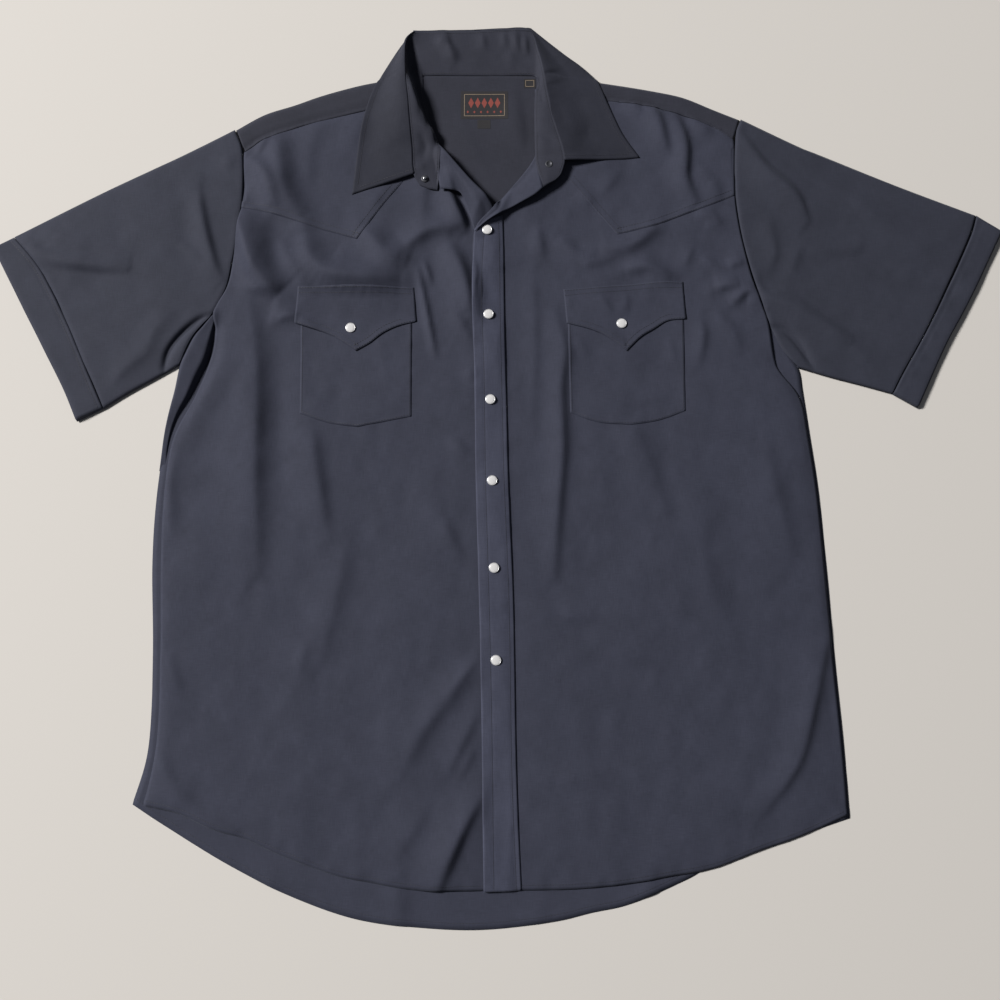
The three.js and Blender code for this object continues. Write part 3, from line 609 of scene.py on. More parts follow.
left_side = [(-352, -357), (-342, -300), (-342, -210), (-346, -120), (-346, -50), (-339, 11), (-317.5, 57),
             (-302.5, 98), (-299, 128), (-301, 149), (-288.5, 175), (-283.5, 202), (-278.5, 240),
             (-274.5, 280), (-276.5, 327)]
left_middle = [(9, -437), (9, -375), (9, -290), (8, -190), (7, -100), (5, -20), (3, 60), (1, 120), (-2, 175),
               (-4, 225), (-6, 262)]
left_neck = [(-6, 262), (-35, 296), (-62, 329), (-81, 358), (-95, 391.5)]
left_hem = [(-352, -357), (-316, -365), (-284, -379), (-253, -388), (-221, -402), (-189, -414), (-158, -424),
            (-126, -430), (-95, -435), (-67, -438), (-36, -438), (9, -437)]
left_shoulder = [(-276.5, 326.5), (-254, 342.5), (-220, 356.5), (-190, 365.5), (-150, 375.5), (-112, 385.5),
                 (-95, 391)]
left_creases = [
    Crease([(-281, 260), (-270, 226), (-257, 192), (-232, 166)], 11.0, 12, 24),
    Crease([(-234, 228), (-220, 198), (-202, 172)], 2.2, 9, 9),
    Crease([(-208, 232), (-199, 203), (-171, 186), (-105, 183)], 9.0, 18, 15),
    Crease([(-146, 240), (-124, 214), (-96, 203)], 5.6, 14, 13),
    Crease([(-102, 220), (-75, 238), (-43, 242)], 4.4, 14, 8),
    Crease([(-87, 195), (-79, 155), (-68, 100)], 2.4, 4.5, 3.2),
    Crease([(-81, 203), (-73, 180)], 1.8, 4, 3),
    Crease([(-57, 224), (-40, 190), (-31, 146)], 5.0, 15, 8),
    Crease([(-277, 178), (-262, 172), (-236, 171)], 1.6, 8, 5),
    Crease([(-235, 138), (-224, 142), (-213, 141)], 1.8, 6, 4),
    Crease([(-50, 148), (-30, 117)], 1.5, 10, 5),
    Crease([(-287, 132), (-289, 100), (-300, 70), (-316, 40), (-332, 5)], 2.2, 11, 16),
    Crease([(-337, 0), (-340, -40), (-338, -90)], 1.8, 6, 8),
    Crease([(-268, 171), (-255, 84), (-253, -30), (-248, -124)], 3.6, 26, 11),
    Crease([(-232, 120), (-228, 30), (-224, -60)], -1.4, 18, 14),
    Crease([(-197, 26), (-188, -30), (-178, -90)], 2.6, 18, 8),
    Crease([(-62, 71), (-27, 58)], 1.1, 8, 4),
    Crease([(-38, 84), (-27, 77)], 0.8, 6, 3.5),
    Crease([(-53, 12), (-33, -4)], 1.1, 8, 4),
    Crease([(-60, -70), (-41, -114)], 1.3, 12, 6),
    Crease([(-159, -99), (-168, -155), (-179, -210)], 1.8, 20, 11),
    Crease([(-195, -196), (-203, -228)], 1.0, 12, 7),
    Crease([(-24, -214), (-54, -252)], 1.6, 10, 5),
    Crease([(-22, -224), (-70, -274), (-99, -323)], 2.0, 17, 9),
    Crease([(-24, -266), (-52, -325)], 1.7, 12, 6),
    Crease([(-26, -300), (-40, -330)], 1.0, 8, 4),
    Crease([(-20, -348), (-39, -382), (-64, -440)], 3.8, 17, 6),
    Crease([(-70, -350), (-98, -400)], 1.0, 16, 9),
    Crease([(-338, -205), (-321, -245)], 1.3, 12, 6),
    Crease([(-346, -299), (-312, -352), (-256, -395)], 1.7, 16, 8),
    Crease([(-242, 343), (-232, 285), (-213, 250)], 6.6, 16, 14),
    Crease([(-272, 318), (-253, 299), (-240, 262)], 5.4, 14, 9),
    Crease([(-252, 345), (-262, 324)], 1.6, 8, 4),
    Crease([(-196, 360), (-206, 330), (-208, 290)], 1.2, 16, 9),
    Crease([(-150, 368), (-164, 330)], 1.0, 16, 9),
    Crease([(-120, 290), (-140, 262)], 0.9, 12, 7),
    Crease([(-66, 330), (-80, 290), (-84, 250)], 1.4, 13, 7),
    Crease([(-62, 287), (-53, 275), (-46, 259), (-38, 240)], 4.8, 12, 4.2),
    Crease([(-49, 282), (-42, 271), (-36, 257), (-31, 241)], -1.8, 3, 3)]
x, y = panel(left_side, left_middle + left_neck[1:], left_hem, left_shoulder, 120, 278)
hem_line = trail(left_hem, 80)
neck_line = trail(left_neck, 20)
edges = [trail(left_side[:9], 60), trail(left_shoulder, 20), hem_line, neck_line, trail(left_middle, 60)]
z = front_height(x, y, edges, left_creases, 11)
z += turned_hem(x, y, hem_line, 5, 0.55) + puckered(x, y, hem_line, 5, 0.5, 9, 14)
neck_away, _, neck_share = nearest(x, y, neck_line)
below_stand = np.clip(neck_share * 8, 0, 1) * np.clip((UNDER_STAND - neck_share) * 8, 0, 1)
z += LEFT_NECK_LIFT * np.exp(-(neck_away / LEFT_NECK_REACH) ** 2) * below_stand
left_front_grid = (x, y, z)
press(x, y, z)


def rolled_corner(front_edge, free_edge, across, crown, lift):
    """A top corner rolled open from the neck edge, over the roll and down to its rising free edge."""
    count = len(front_edge)
    free = trail(free_edge, count - 1)
    ramp = np.linspace(0, 1, count)[:, None]
    u = np.linspace(0, 1, across + 1)
    x = front_edge[:, :1] * (1 - u) + free[:, :1] * u
    y = front_edge[:, 1:2] * (1 - u) + free[:, 1:2] * u
    free_z = held_up(x, y, 4)[:, -1:] + 0.9 + lift * ramp ** 0.8
    z = front_edge[:, 2:] * (1 - u) + free_z * u + crown * ramp ** 0.5 * np.sin(np.pi * u ** 0.55)
    z += ramp * rumpled(x, y, 12, 0.35, 17)
    return x, y, np.maximum(z, held_up(x, y, 0) + 0.75)


# The left corner rolls out from the line between the neck seam and the point of the V.
LEFT_NECK_ROWS = slice(226, 262)
edge = np.column_stack([g[LEFT_NECK_ROWS, -1] for g in left_front_grid])
free_edge = [(-26, 232.5), (-30, 246), (-35, 263), (-42.5, 278), (-53, 280), (-64, 281.5)]
left_corner = rolled_corner(edge, free_edge, 16, 1.4, 3.4)
press(*left_corner)
sewn_piece("front_left_cloth", "front_left", [left_front_grid, left_corner], front_cloth)

right_middle = [(-16, -437), (-17, -375), (-18, -300), (-20, -200), (-22, -130), (-25, -33), (-26, 30),
                (-27, 90), (-29, 140), (-28.5, 190), (-27, 236)]
right_neck = [(-27, 236), (-5, 264), (37, 319), (38, 360), (38, 398.5)]
right_side = [(343, -366), (341, -312), (336, -225), (332, -140), (327, -50), (320, 15), (313, 56), (290, 90),
              (282.5, 137), (273.5, 165), (264.5, 197), (255.5, 242), (251.5, 285), (253.5, 343)]
right_hem = [(-16, -437), (23, -437), (74, -436), (120, -432), (168, -424), (212, -416), (255, -400),
             (299, -385), (343, -366)]
right_shoulder = [(38, 398.5), (75, 396.5), (120, 387.5), (160, 380.5), (195, 371.5), (228, 357.5),
                  (253.5, 342.5)]
right_creases = [
    Crease([(118, 393), (140, 386), (153, 369)], 1.9, 9, 4.5),
    Crease([(155, 382), (168, 369), (179, 327)], 3.2, 12, 5),
    Crease([(187, 372), (199, 335), (198, 297), (207, 271)], 4.0, 13, 5),
    Crease([(205, 367), (227, 349)], 1.9, 8, 4),
    Crease([(220, 365), (252, 347)], 1.9, 8, 4),
    Crease([(214, 310), (228, 290), (234, 270)], 1.4, 11, 6),
    Crease([(209, 258), (226, 253), (236, 243)], 1.9, 10, 5),
    Crease([(105, 220), (137, 220), (169, 243)], 3.4, 13, 8),
    Crease([(132, 194), (157, 197), (183, 184)], 3.4, 11, 6),
    Crease([(227, 175), (254, 179)], 3.2, 10, 5),
    Crease([(243, 156), (263, 171), (275, 159)], 2.8, 9, 5),
    Crease([(211, 138), (213, 121), (208, 93)], 1.6, 9, 5),
    Crease([(58, 141), (67, 109), (63, 66), (64, 3), (59, -60), (54, -129)], 3.0, 13, 6),
    Crease([(39, 243), (44, 207)], 1.9, 12, 6),
    Crease([(34, 200), (36, 120), (33, 40)], 0.9, 10, 6),
    Crease([(126, 303), (109, 282)], 1.2, 10, 5),
    Crease([(86, 284), (99, 268)], 1.3, 10, 5),
    Crease([(62, 230), (80, 212), (98, 206)], 1.8, 11, 6),
    Crease([(195, 197), (204, 220)], 1.2, 9, 5),
    Crease([(213, 207), (234, 194)], 1.4, 9, 5),
    Crease([(242, 199), (259, 205)], 1.5, 8, 4),
    Crease([(85, 198), (107, 204), (120, 209)], 1.5, 9, 5),
    Crease([(222, 150), (243, 128), (252, 100)], 1.4, 13, 7),
    Crease([(123, 22), (145, 0), (170, -73)], 1.6, 22, 12),
    Crease([(195, -73), (228, -195)], 1.3, 26, 14),
    Crease([(270, 11), (297, -114)], 1.7, 22, 11),
    Crease([(100, 20), (104, -60)], 1.0, 20, 12),
    Crease([(20, -158), (60, -170), (101, -170)], 1.2, 12, 8),
    Crease([(80, -200), (150, -214)], 0.8, 14, 9),
    Crease([(55, -328), (104, -335)], 1.0, 12, 7),
    Crease([(332, -184), (324, -212), (312, -259), (298, -306), (281, -334), (258, -361)], 2.6, 17, 6),
    Crease([(190, -330), (230, -372)], 0.9, 20, 12)]
x, y = panel(right_middle + right_neck[1:], right_side, right_hem, right_shoulder, 126, 280)
hem_line = trail(right_hem, 80)
neck_line = trail(right_neck[1:], 20)
edges = [trail(right_side[:8], 60), trail(right_shoulder, 20), hem_line, neck_line]
z = front_height(x, y, edges, right_creases, 21)
z += turned_hem(x, y, hem_line, 5, 0.55) + puckered(x, y, hem_line, 5, 0.5, 9, 24)
z += np.exp(-(nearest(x, y, neck_line)[0] / RIGHT_NECK_REACH) ** 2) * RIGHT_NECK_LIFT
right_front_grid = (x, y, z)
press(x, y, z)

# Placket: a band of cloth folded and stitched down the right front's edge, where the snaps are set. It ends
# under the rolled corner, which is laid over it here.
FOLDED_CLOTH = 0.8
PLACKET_LIFT = 0.6
LEFT_ROW = 10
RIGHT_ROW = 5
placket_left = [(-16, -438.5), (-17, -375), (-18, -300), (-20, -200), (-22, -130), (-25, -33), (-26, 30),
                (-27, 90), (-29, 140), (-29.5, 185), (-28, 219), (-27, 237)]
placket_right = [(21, -437), (18, -370), (16, -300), (14.5, -190), (13, -130), (9, -33), (7.5, 30), (6, 90),
                 (5, 140), (4.5, 185), (4, 222), (3, 254)]
x, y = panel(placket_left, placket_right, [placket_left[0], placket_right[0]],
             [placket_left[-1], (-14, 247), placket_right[-1]], 22, 330)
left_line, right_line = trail(placket_left, 90), trail(placket_right, 90)
z = held_up(x, y, 2, True) + PLACKET_LIFT
for line, inset, seed in ((left_line, LEFT_ROW, 31), (right_line, RIGHT_ROW, 32)):
    away = nearest(x, y, line)[0]
    z += puckered(x, y, line, inset, 0.22, 13, seed) - 0.3 * np.exp(-((away - inset) / 1.1) ** 2)
z = np.maximum(z, held_up(x, y, 0) + 0.1)
placket_grid = (x, y, z)
press(x, y, z)
# The placket is the body's own cloth. Its tone is made 1.42 times lighter as painted light, for the brighter
# look of the band.
placket_cloth = woven_cotton("charcoal_placket_painted_light", [1.42 * c for c in BODY_TONE])
sewn_piece("placket_band", "placket", [placket_grid], placket_cloth,
           FOLDED_CLOTH)

RIGHT_NECK_ROWS = slice(231, 256)
edge = np.column_stack([g[RIGHT_NECK_ROWS, 0] for g in right_front_grid])
free_edge = [(-27, 234), (-15, 244.5), (2, 255.5), (20, 265.5), (36, 274.5), (46, 283)]
right_corner = rolled_corner(edge, free_edge, 16, 1.2, 6.6)
press(*right_corner)
sewn_piece("front_right_cloth", "front_right", [right_front_grid, right_corner], front_cloth)
stitching("front_hem_stitches", [beside(trail(left_hem, 200), 5), beside(trail(right_hem, 200), 5)],
          ["front_left_cloth", "front_right_cloth"])
placket_lines = [beside(trail(placket_left, 300), -LEFT_ROW), beside(trail(placket_right, 300), RIGHT_ROW)]
stitching("placket_stitches", placket_lines, ["placket_band"])

# Front yokes: the pointed western yokes, sewn over the top of each front with two rows of stitching along
# their lower edge. The fronts' creases run on through them.
YOKE_LIFT = 0.1
EDGE_ROW = 1.6
YOKE_ROW = 7
yoke_panels = {
    "front_yoke_left": dict(
        left=[(-276, 262), (-274.3, 290), (-275.8, 326)], right=[(-104, 293), (-98, 322), (-96, 390.5)],
        start=[(-276, 262), (-240, 254), (-204, 242), (-172, 233), (-152, 227), (-128, 262), (-104, 293)],
        corners=(4,), end=left_shoulder, front="front_left_cloth"),
    "front_yoke_right": dict(
        left=[(73, 296), (50, 332), (39, 398)], right=[(251.5, 277), (252.2, 315), (252.8, 342.5)],
        start=[(73, 296), (103, 260), (125, 233), (163, 242), (186, 251), (223, 265), (251.5, 277)],
        corners=(2,), end=right_shoulder, front="front_right_cloth")}
for name, cut in yoke_panels.items():
    x, y = panel(cut["left"], cut["right"], cut["start"], cut["end"], 84, 56, cut["corners"])
    lower = trail(cut["start"], 60, cut["corners"])
    z = held_up(x, y, 0, True) + YOKE_LIFT
    z += turned_hem(x, y, lower, 6, 0.05) + puckered(x, y, lower, 4, 0.3, 10, len(name))
    press(x, y, z)
    sewn_piece(name + "_cloth", name, [(x, y, z)], front_cloth)
    fine = trail(cut["start"], 240, cut["corners"])
    stitching(name + "_stitches", [beside(fine, EDGE_ROW), beside(fine, YOKE_ROW)], [name + "_cloth"])

# Shoulders: the back yoke's front edge, brought over each shoulder and topstitched on the front yoke. Each
# row gives a place on that edge and the place above it where the cloth folds over to the back.
SHOULDER_FOLD = 1.4
SHOULDER_DEPTH = 17
SHOULDER_HEM = 5
SHOULDER_ROW = 1.8
shoulder_rows = {
    "left": [(-98, 388, -100, 414.5), (-112, 384, -112, 412.5), (-150, 374, -150, 405.5),
             (-190, 364, -192, 393.5), (-220, 355, -224, 381.5), (-254, 341, -256, 370.5),
             (-275.5, 327, -285.6, 352.6)],
    "right": [(40, 397, 40, 415.5), (80, 394, 84, 411.5), (120, 386, 124, 405.5), (160, 379, 164, 398.5),
              (195, 370, 199, 390.5), (228, 356.5, 232, 376.5), (252.6, 342, 259.6, 364.6)]}
shoulder_grids, shoulder_lines = [], []
for side, rows in shoulder_rows.items():
    rows = np.array(rows, float)
    front_edge, fold = trail(rows[:, :2], 100), trail(rows[:, 2:], 100)
    u = np.linspace(0, 1, 13)
    x = front_edge[:, :1] * (1 - u) + fold[:, :1] * u
    y = front_edge[:, 1:] * (1 - u) + fold[:, 1:] * u
    laid = held_up(x, y, 1, True) + 0.3
    rounded = np.sqrt(np.clip(1 - np.clip((u - 0.68) / 0.32, 0, 1) ** 2, 0, 1))
    raised = np.maximum(laid, 2.4 + 2.0 * np.clip(u / 0.35, 0, 1))
    z = SHOULDER_FOLD + (raised - SHOULDER_FOLD) * rounded + rumpled(x, y, 22, 0.4, 41) * rounded
    z += 0.12 / (1 + np.exp((u * SHOULDER_DEPTH - SHOULDER_HEM) / 0.6))
    press(x, y, z)
    shoulder_grids.append((x, y, z))
    shoulder_lines.append(beside(front_edge, -SHOULDER_ROW if side == "right" else SHOULDER_ROW)[3:-3])
sewn_piece("back_yoke_cloth", "back_yoke", [back_yoke_grid, *shoulder_grids], yoke_cloth)

# Pockets and their flaps: each pocket is a patch with folded edges and a shallow point, stitched on three
# sides. Each flap is a double piece with a scalloped point, sewn along its top and held by its own snap.
POCKET_LIFT = 0.15
POCKET_INSET = 2
FLAP_LIFT = 0.35
FLAP_ROW = 6.5
pocket_creases = {
    "left": [Crease([(-205, 62), (-180, 40)], 0.6, 9, 6), Crease([(-128, 120), (-120, 70)], 0.6, 12, 7)],
    "right": [Crease([(80, 120), (92, 96)], 0.9, 9, 5), Crease([(96, 62), (140, 52), (180, 62)], 0.6, 10, 6),
              Crease([(176, 120), (184, 92)], 0.8, 9, 5)]}
pockets = {
    "left": dict(low=[(-208, 38), (-178, 28), (-148, 24), (-122, 29), (-92, 35)],
                 top=[(-210, 160), (-93, 160)]),
    "right": dict(low=[(73, 39), (101, 29), (136, 26), (165, 31), (193, 41)],
                  top=[(71, 160), (194, 166)])}
flaps = {
    "left": dict(low=[(-216, 135), (-180, 123), (-163, 113), (-151, 105), (-137, 113), (-123, 124),
                      (-107, 132), (-88, 137)],
                 top=[(-213, 174), (-91, 174)], lift=[Crease([(-212, 140), (-190, 128)], 1.6, 9, 4)]),
    "right": dict(low=[(70, 135), (96, 128), (113, 120), (133, 105), (148, 120), (162, 129), (177, 138),
                       (196, 140)],
                  top=[(67, 172), (134, 178), (166, 181), (194, 181)],
                  lift=[Crease([(104, 166), (118, 145)], 1.2, 8, 4),
                        Crease([(133, 168), (133, 148)], 1.0, 6, 4)])}
for side, cut in pockets.items():
    low, top = cut["low"], cut["top"]
    corner = (2,)
    x, y = panel([low[0], top[0]], [low[-1], top[-1]], low, top, 62, 66, corner)
    rim = np.vstack([trail([top[0], low[0]], 30)[:-1], trail(low, 40, corner)[:-1],
                     trail([low[-1], top[-1]], 30)])
    z = held_up(x, y, 1, True) + POCKET_LIFT
    z += creased(x, y, pocket_creases[side]) + np.abs(rumpled(x, y, 30, 0.4, 50))
    z += turned_hem(x, y, rim, 5, 0.08) + puckered(x, y, rim, 3, 0.3, 9, 51)
    z = np.maximum(z, held_up(x, y, 0, True) + 0.2)
    press(x, y, z)
    name = f"pocket_{side}_cloth"
    sewn_piece(name, "pocket_" + side, [(x, y, z)], front_cloth)
    moved = lambda place, across, up: (place[0] + across * POCKET_INSET, place[1] + up * POCKET_INSET)
    low_row = [moved(low[0], 1, 1), *[moved(place, 0, 1) for place in low[1:-1]], moved(low[-1], -1, 1)]
    inner = np.vstack([trail([moved(top[0], 1, 0), low_row[0]], 60)[:-1], trail(low_row, 60, corner)[:-1],
                       trail([low_row[-1], moved(top[-1], -1, 0)], 60)])
    stitching(f"pocket_{side}_stitches", [inner], [name])
for side, cut in flaps.items():
    low, top = cut["low"], cut["top"]
    corner = (3,)
    x, y = panel([low[0], top[0]], [low[-1], top[-1]], low, top, 64, 34, corner)
    lower = trail(low, 60, corner)
    away = nearest(x, y, lower)[0]
    z = held_up(x, y, 2, True) + FLAP_LIFT + creased(x, y, cut["lift"]) + 0.7 * np.exp(-(away / 9) ** 2)
    z += turned_hem(x, y, lower, 5, 0.25) + puckered(x, y, lower, 5, 0.3, 9, 61) + rumpled(x, y, 22, 0.3, 60)
    z = np.maximum(z, held_up(x, y, 0, True) + 0.25)
    press(x, y, z)
    name = f"pocket_flap_{side}_cloth"
    sewn_piece(name, "pocket_flap_" + side, [(x, y, z)], front_cloth,
               FOLDED_CLOTH)
    fine, upper = trail(low, 160, corner), trail(top, 80)
    flap_lines = [beside(fine, EDGE_ROW), beside(fine, FLAP_ROW)[14:-14],
                  beside(upper, -EDGE_ROW), beside(upper, -FLAP_ROW)]
    stitching(f"pocket_flap_{side}_stitches", flap_lines, [name])

# Sleeves: each is a tube sewn into its armhole and pressed nearly flat, with its own creases. The tube's two
# walls meet in soft folds along the top and the underside.
SLEEVE_RISE = 5.0
FOLD_HEIGHT = 2.8
FOLD_REACH = 11
# Both sleeves are the same cloth. The right sleeve's tone, which its hem band shares, is about 8% darker than
# the left's. That darkening is painted shade for the side turned away from the light.
sleeve_cloth = {"left": woven_cotton("charcoal_sleeve_left", (0.0302, 0.0328, 0.0480), 0.5),
                "right": woven_cotton("charcoal_sleeve_right_painted_shade", (0.0278, 0.0302, 0.0442), -0.45)}


def tube_grids(x, y, height, rim):
    """The upper and lower walls of a flattened tube, joined by rounded folds along both of its long edges."""
    across = x.shape[1] - 1
    length = np.hypot(x[:, -1] - x[:, 0], y[:, -1] - y[:, 0])[:, None]
    u = np.linspace(0, 1, across + 1)
    from_fold = np.minimum(u, 1 - u) * length
    rounded = np.sqrt(np.clip(1 - np.clip(1 - from_fold / rim, 0, 1) ** 2, 0, 1))
    middle = CLOTH + 1.2
    top = middle + (height - middle) * rounded
    low = middle - (middle - CLOTH - 0.1) * rounded
    low = low[:, ::-1]
    ring_x, ring_y = np.hstack([x, x[:, ::-1][:, 1:]]), np.hstack([y, y[:, ::-1][:, 1:]])
    return ring_x, ring_y, np.hstack([top, low[:, 1:]])


def eased(height, at_fold):
    """A tube's upper wall, lowered towards the folds along its long edges."""
    return FOLD_HEIGHT + (height - FOLD_HEIGHT) * (1 - 0.75 * np.exp(-at_fold / FOLD_REACH))


sleeves = {
    "left": dict(
        armhole=[(-336.6, 90), (-322.6, 122), (-302.6, 148), (-289.6, 175), (-284.6, 202), (-279.6, 240),
                 (-275.6, 280), (-277.6, 327), (-287.6, 353)],
        band=[(-412.6, 44), (-430.6, 82), (-452.6, 130), (-473.6, 171), (-492.6, 202), (-518.6, 231)],
        under=[(-336.6, 90), (-362, 75), (-388, 60), (-412.6, 44)],
        over=[(-287.6, 353), (-315, 338), (-348, 320.5), (-375, 307), (-430, 279), (-518.6, 231)],
        creases=[Crease([(-502, 221), (-486, 210), (-462, 203), (-430, 199), (-396, 196)], 4.8, 17, 3.2),
                 Crease([(-508, 229), (-470, 227), (-415, 221)], 1.8, 14, 6),
                 Crease([(-324, 284), (-319, 256), (-312, 228), (-303, 198), (-296, 184)], 4.2, 12, 4.2),
                 Crease([(-342, 222), (-326, 212), (-318, 206)], 1.5, 8, 3),
                 Crease([(-300, 318), (-286, 312)], 1.4, 9, 5),
                 Crease([(-406, 68), (-392, 86), (-365, 108)], 2.0, 12, 7),
                 Crease([(-345, 150), (-364, 124), (-372, 100)], 2.0, 12, 9),
                 Crease([(-307, 144), (-319, 138), (-336, 122), (-347, 106), (-351, 90), (-350, 78)],
                        -5.2, 3.0, 4.5)]),
    "right": dict(
        armhole=[(312.6, 88), (295.6, 108), (283.6, 137), (274.6, 165), (265.6, 197), (256.6, 242),
                 (252.6, 285), (254.6, 343), (261.6, 365)],
        band=[(409.6, 60), (421.6, 82), (447.6, 126), (473.6, 175), (499.6, 228), (509.6, 255)],
        under=[(312.6, 88), (345, 78), (378, 69), (409.6, 60)],
        over=[(261.6, 365), (322, 334), (345, 324), (428, 288), (509.6, 255)],
        creases=[Crease([(260, 345), (285, 307), (316, 276), (327, 248)], 5.0, 16, 3.6),
                 Crease([(271, 175), (285, 162), (319, 148), (366, 117)], 4.4, 15, 4),
                 Crease([(281, 131), (298, 128), (312, 115), (330, 84)], -4.0, 3.4, 4.5),
                 Crease([(287, 242), (291, 212), (283, 191)], 2.0, 11, 6),
                 Crease([(319, 220), (308, 191)], 1.5, 10, 6),
                 Crease([(339, 220), (377, 217), (383, 232)], 1.5, 11, 6),
                 Crease([(324, 311), (374, 276), (439, 222), (486, 236)], 1.3, 16, 11),
                 Crease([(364, 113), (387, 95)], 1.2, 12, 8)])}
for side, cut in sleeves.items():
    x, y = panel(cut["under"], cut["over"], cut["armhole"], cut["band"], 112, 92)
    armhole, band = trail(cut["armhole"], 50), trail(cut["band"], 40)
    at_armhole, at_band = nearest(x, y, armhole)[0], nearest(x, y, band)[0]
    height = SLEEVE_RISE + creased(x, y, cut["creases"])
    height += rumpled(x, y, 60, 1.0, 71) + rumpled(x, y, 24, 0.5, 72) + rumpled(x, y, 12, 0.2, 73)
    height -= 0.9 * np.exp(-(at_armhole / 1.6) ** 2) + 1.1 * np.exp(-(at_band / 1.8) ** 2)
    at_fold = np.minimum(nearest(x, y, trail(cut["under"], 20))[0], nearest(x, y, trail(cut["over"], 20))[0])
    height = np.maximum(eased(height, at_fold), CLOTH * 2 + 0.9)
    ring = tube_grids(x, y, height, 3.0)
    press(x, y, height)
    sewn_piece(f"sleeve_{side}_cloth", "sleeve_" + side, [ring], sleeve_cloth[side])

# Sleeve hems: a deep turned band at the end of each sleeve, stitched near the seam line. The stitching draws
# the band into small puckers, deeper on the right sleeve.
HEM_ROW = 5
hem_bands = {
    "left": dict(
        seam=[(-413, 43.5), (-431, 82), (-453, 130), (-474, 171), (-493, 202), (-519.2, 231)],
        end=[(-440, 30), (-456, 65), (-477, 104), (-504, 153), (-524, 190), (-540, 220)],
        depth=0.3, pitch=14),
    "right": dict(
        seam=[(410.2, 59.5), (422.2, 82), (448.2, 126), (474.2, 175), (500.2, 228), (510.2, 255)],
        end=[(435, 45), (453, 82), (470, 116), (490, 150), (509, 185), (536, 238)],
        depth=0.7, pitch=9)}
for side, cut in hem_bands.items():
    first, last = ([cut["seam"][k], cut["end"][k]] for k in (0, -1))
    x, y = panel(first, last, cut["seam"], cut["end"], 90, 14)
    seam, end = trail(cut["seam"], 50), trail(cut["end"], 50)
    at_seam = nearest(x, y, seam)[0]
    height = SLEEVE_RISE + 0.5 + rumpled(x, y, 34, 0.6, 81) - 0.9 * np.exp(-(nearest(x, y, end)[0] / 2) ** 2)
    height += puckered(x, y, seam, 6, cut["depth"], cut["pitch"], 82)
    height -= 0.4 * np.exp(-((at_seam - HEM_ROW) / 1.2) ** 2)
    at_fold = np.minimum(*(np.hypot(x - seam[k, 0], y - seam[k, 1]) for k in (0, -1)))
    height = np.maximum(eased(height, at_fold), 2.6)
    ring = tube_grids(x, y, height, 2.6)
    press(x, y, height)
    name = f"sleeve_hem_{side}_cloth"
    sewn_piece(name, "sleeve_hem_" + side, [ring], sleeve_cloth[side], FOLDED_CLOTH)
    inset = HEM_ROW if side == "left" else -HEM_ROW
    stitching(f"sleeve_hem_{side}_stitches", [beside(trail(cut["seam"], 120), inset)], [name])

# Collar stand: the stiffened band round the neck, with rounded ends. Its inside faces up; at the left it
# stands on its neck seam with a steep dark face, and at the right it lies down.
STAND_CLOTH = 0.9
stand_cloth = woven_cotton("charcoal_stand", (0.0262, 0.0277, 0.0400), 0.35)


def loft(rows, across, step=2.5):
    """A smooth sheet through rows of (x, y, z) places: grids of x, y and z."""
    crossed = np.array([trail(row, across) for row in rows])
    spans = np.linalg.norm(np.diff(crossed, axis=0), axis=2).max(axis=1)
    padded = np.concatenate([2 * crossed[:1] - crossed[1:2], crossed, 2 * crossed[-1:] - crossed[-2:-1]])
    parts = []
    for k, span in enumerate(spans):
        t = np.linspace(0, 1, max(2, int(span / step)), endpoint=False)[:, None, None]
        parts.append(curved(*padded[k:k + 4], t))
    grid = np.concatenate([*parts, crossed[-1:]])
    return grid[..., 0], grid[..., 1], grid[..., 2]


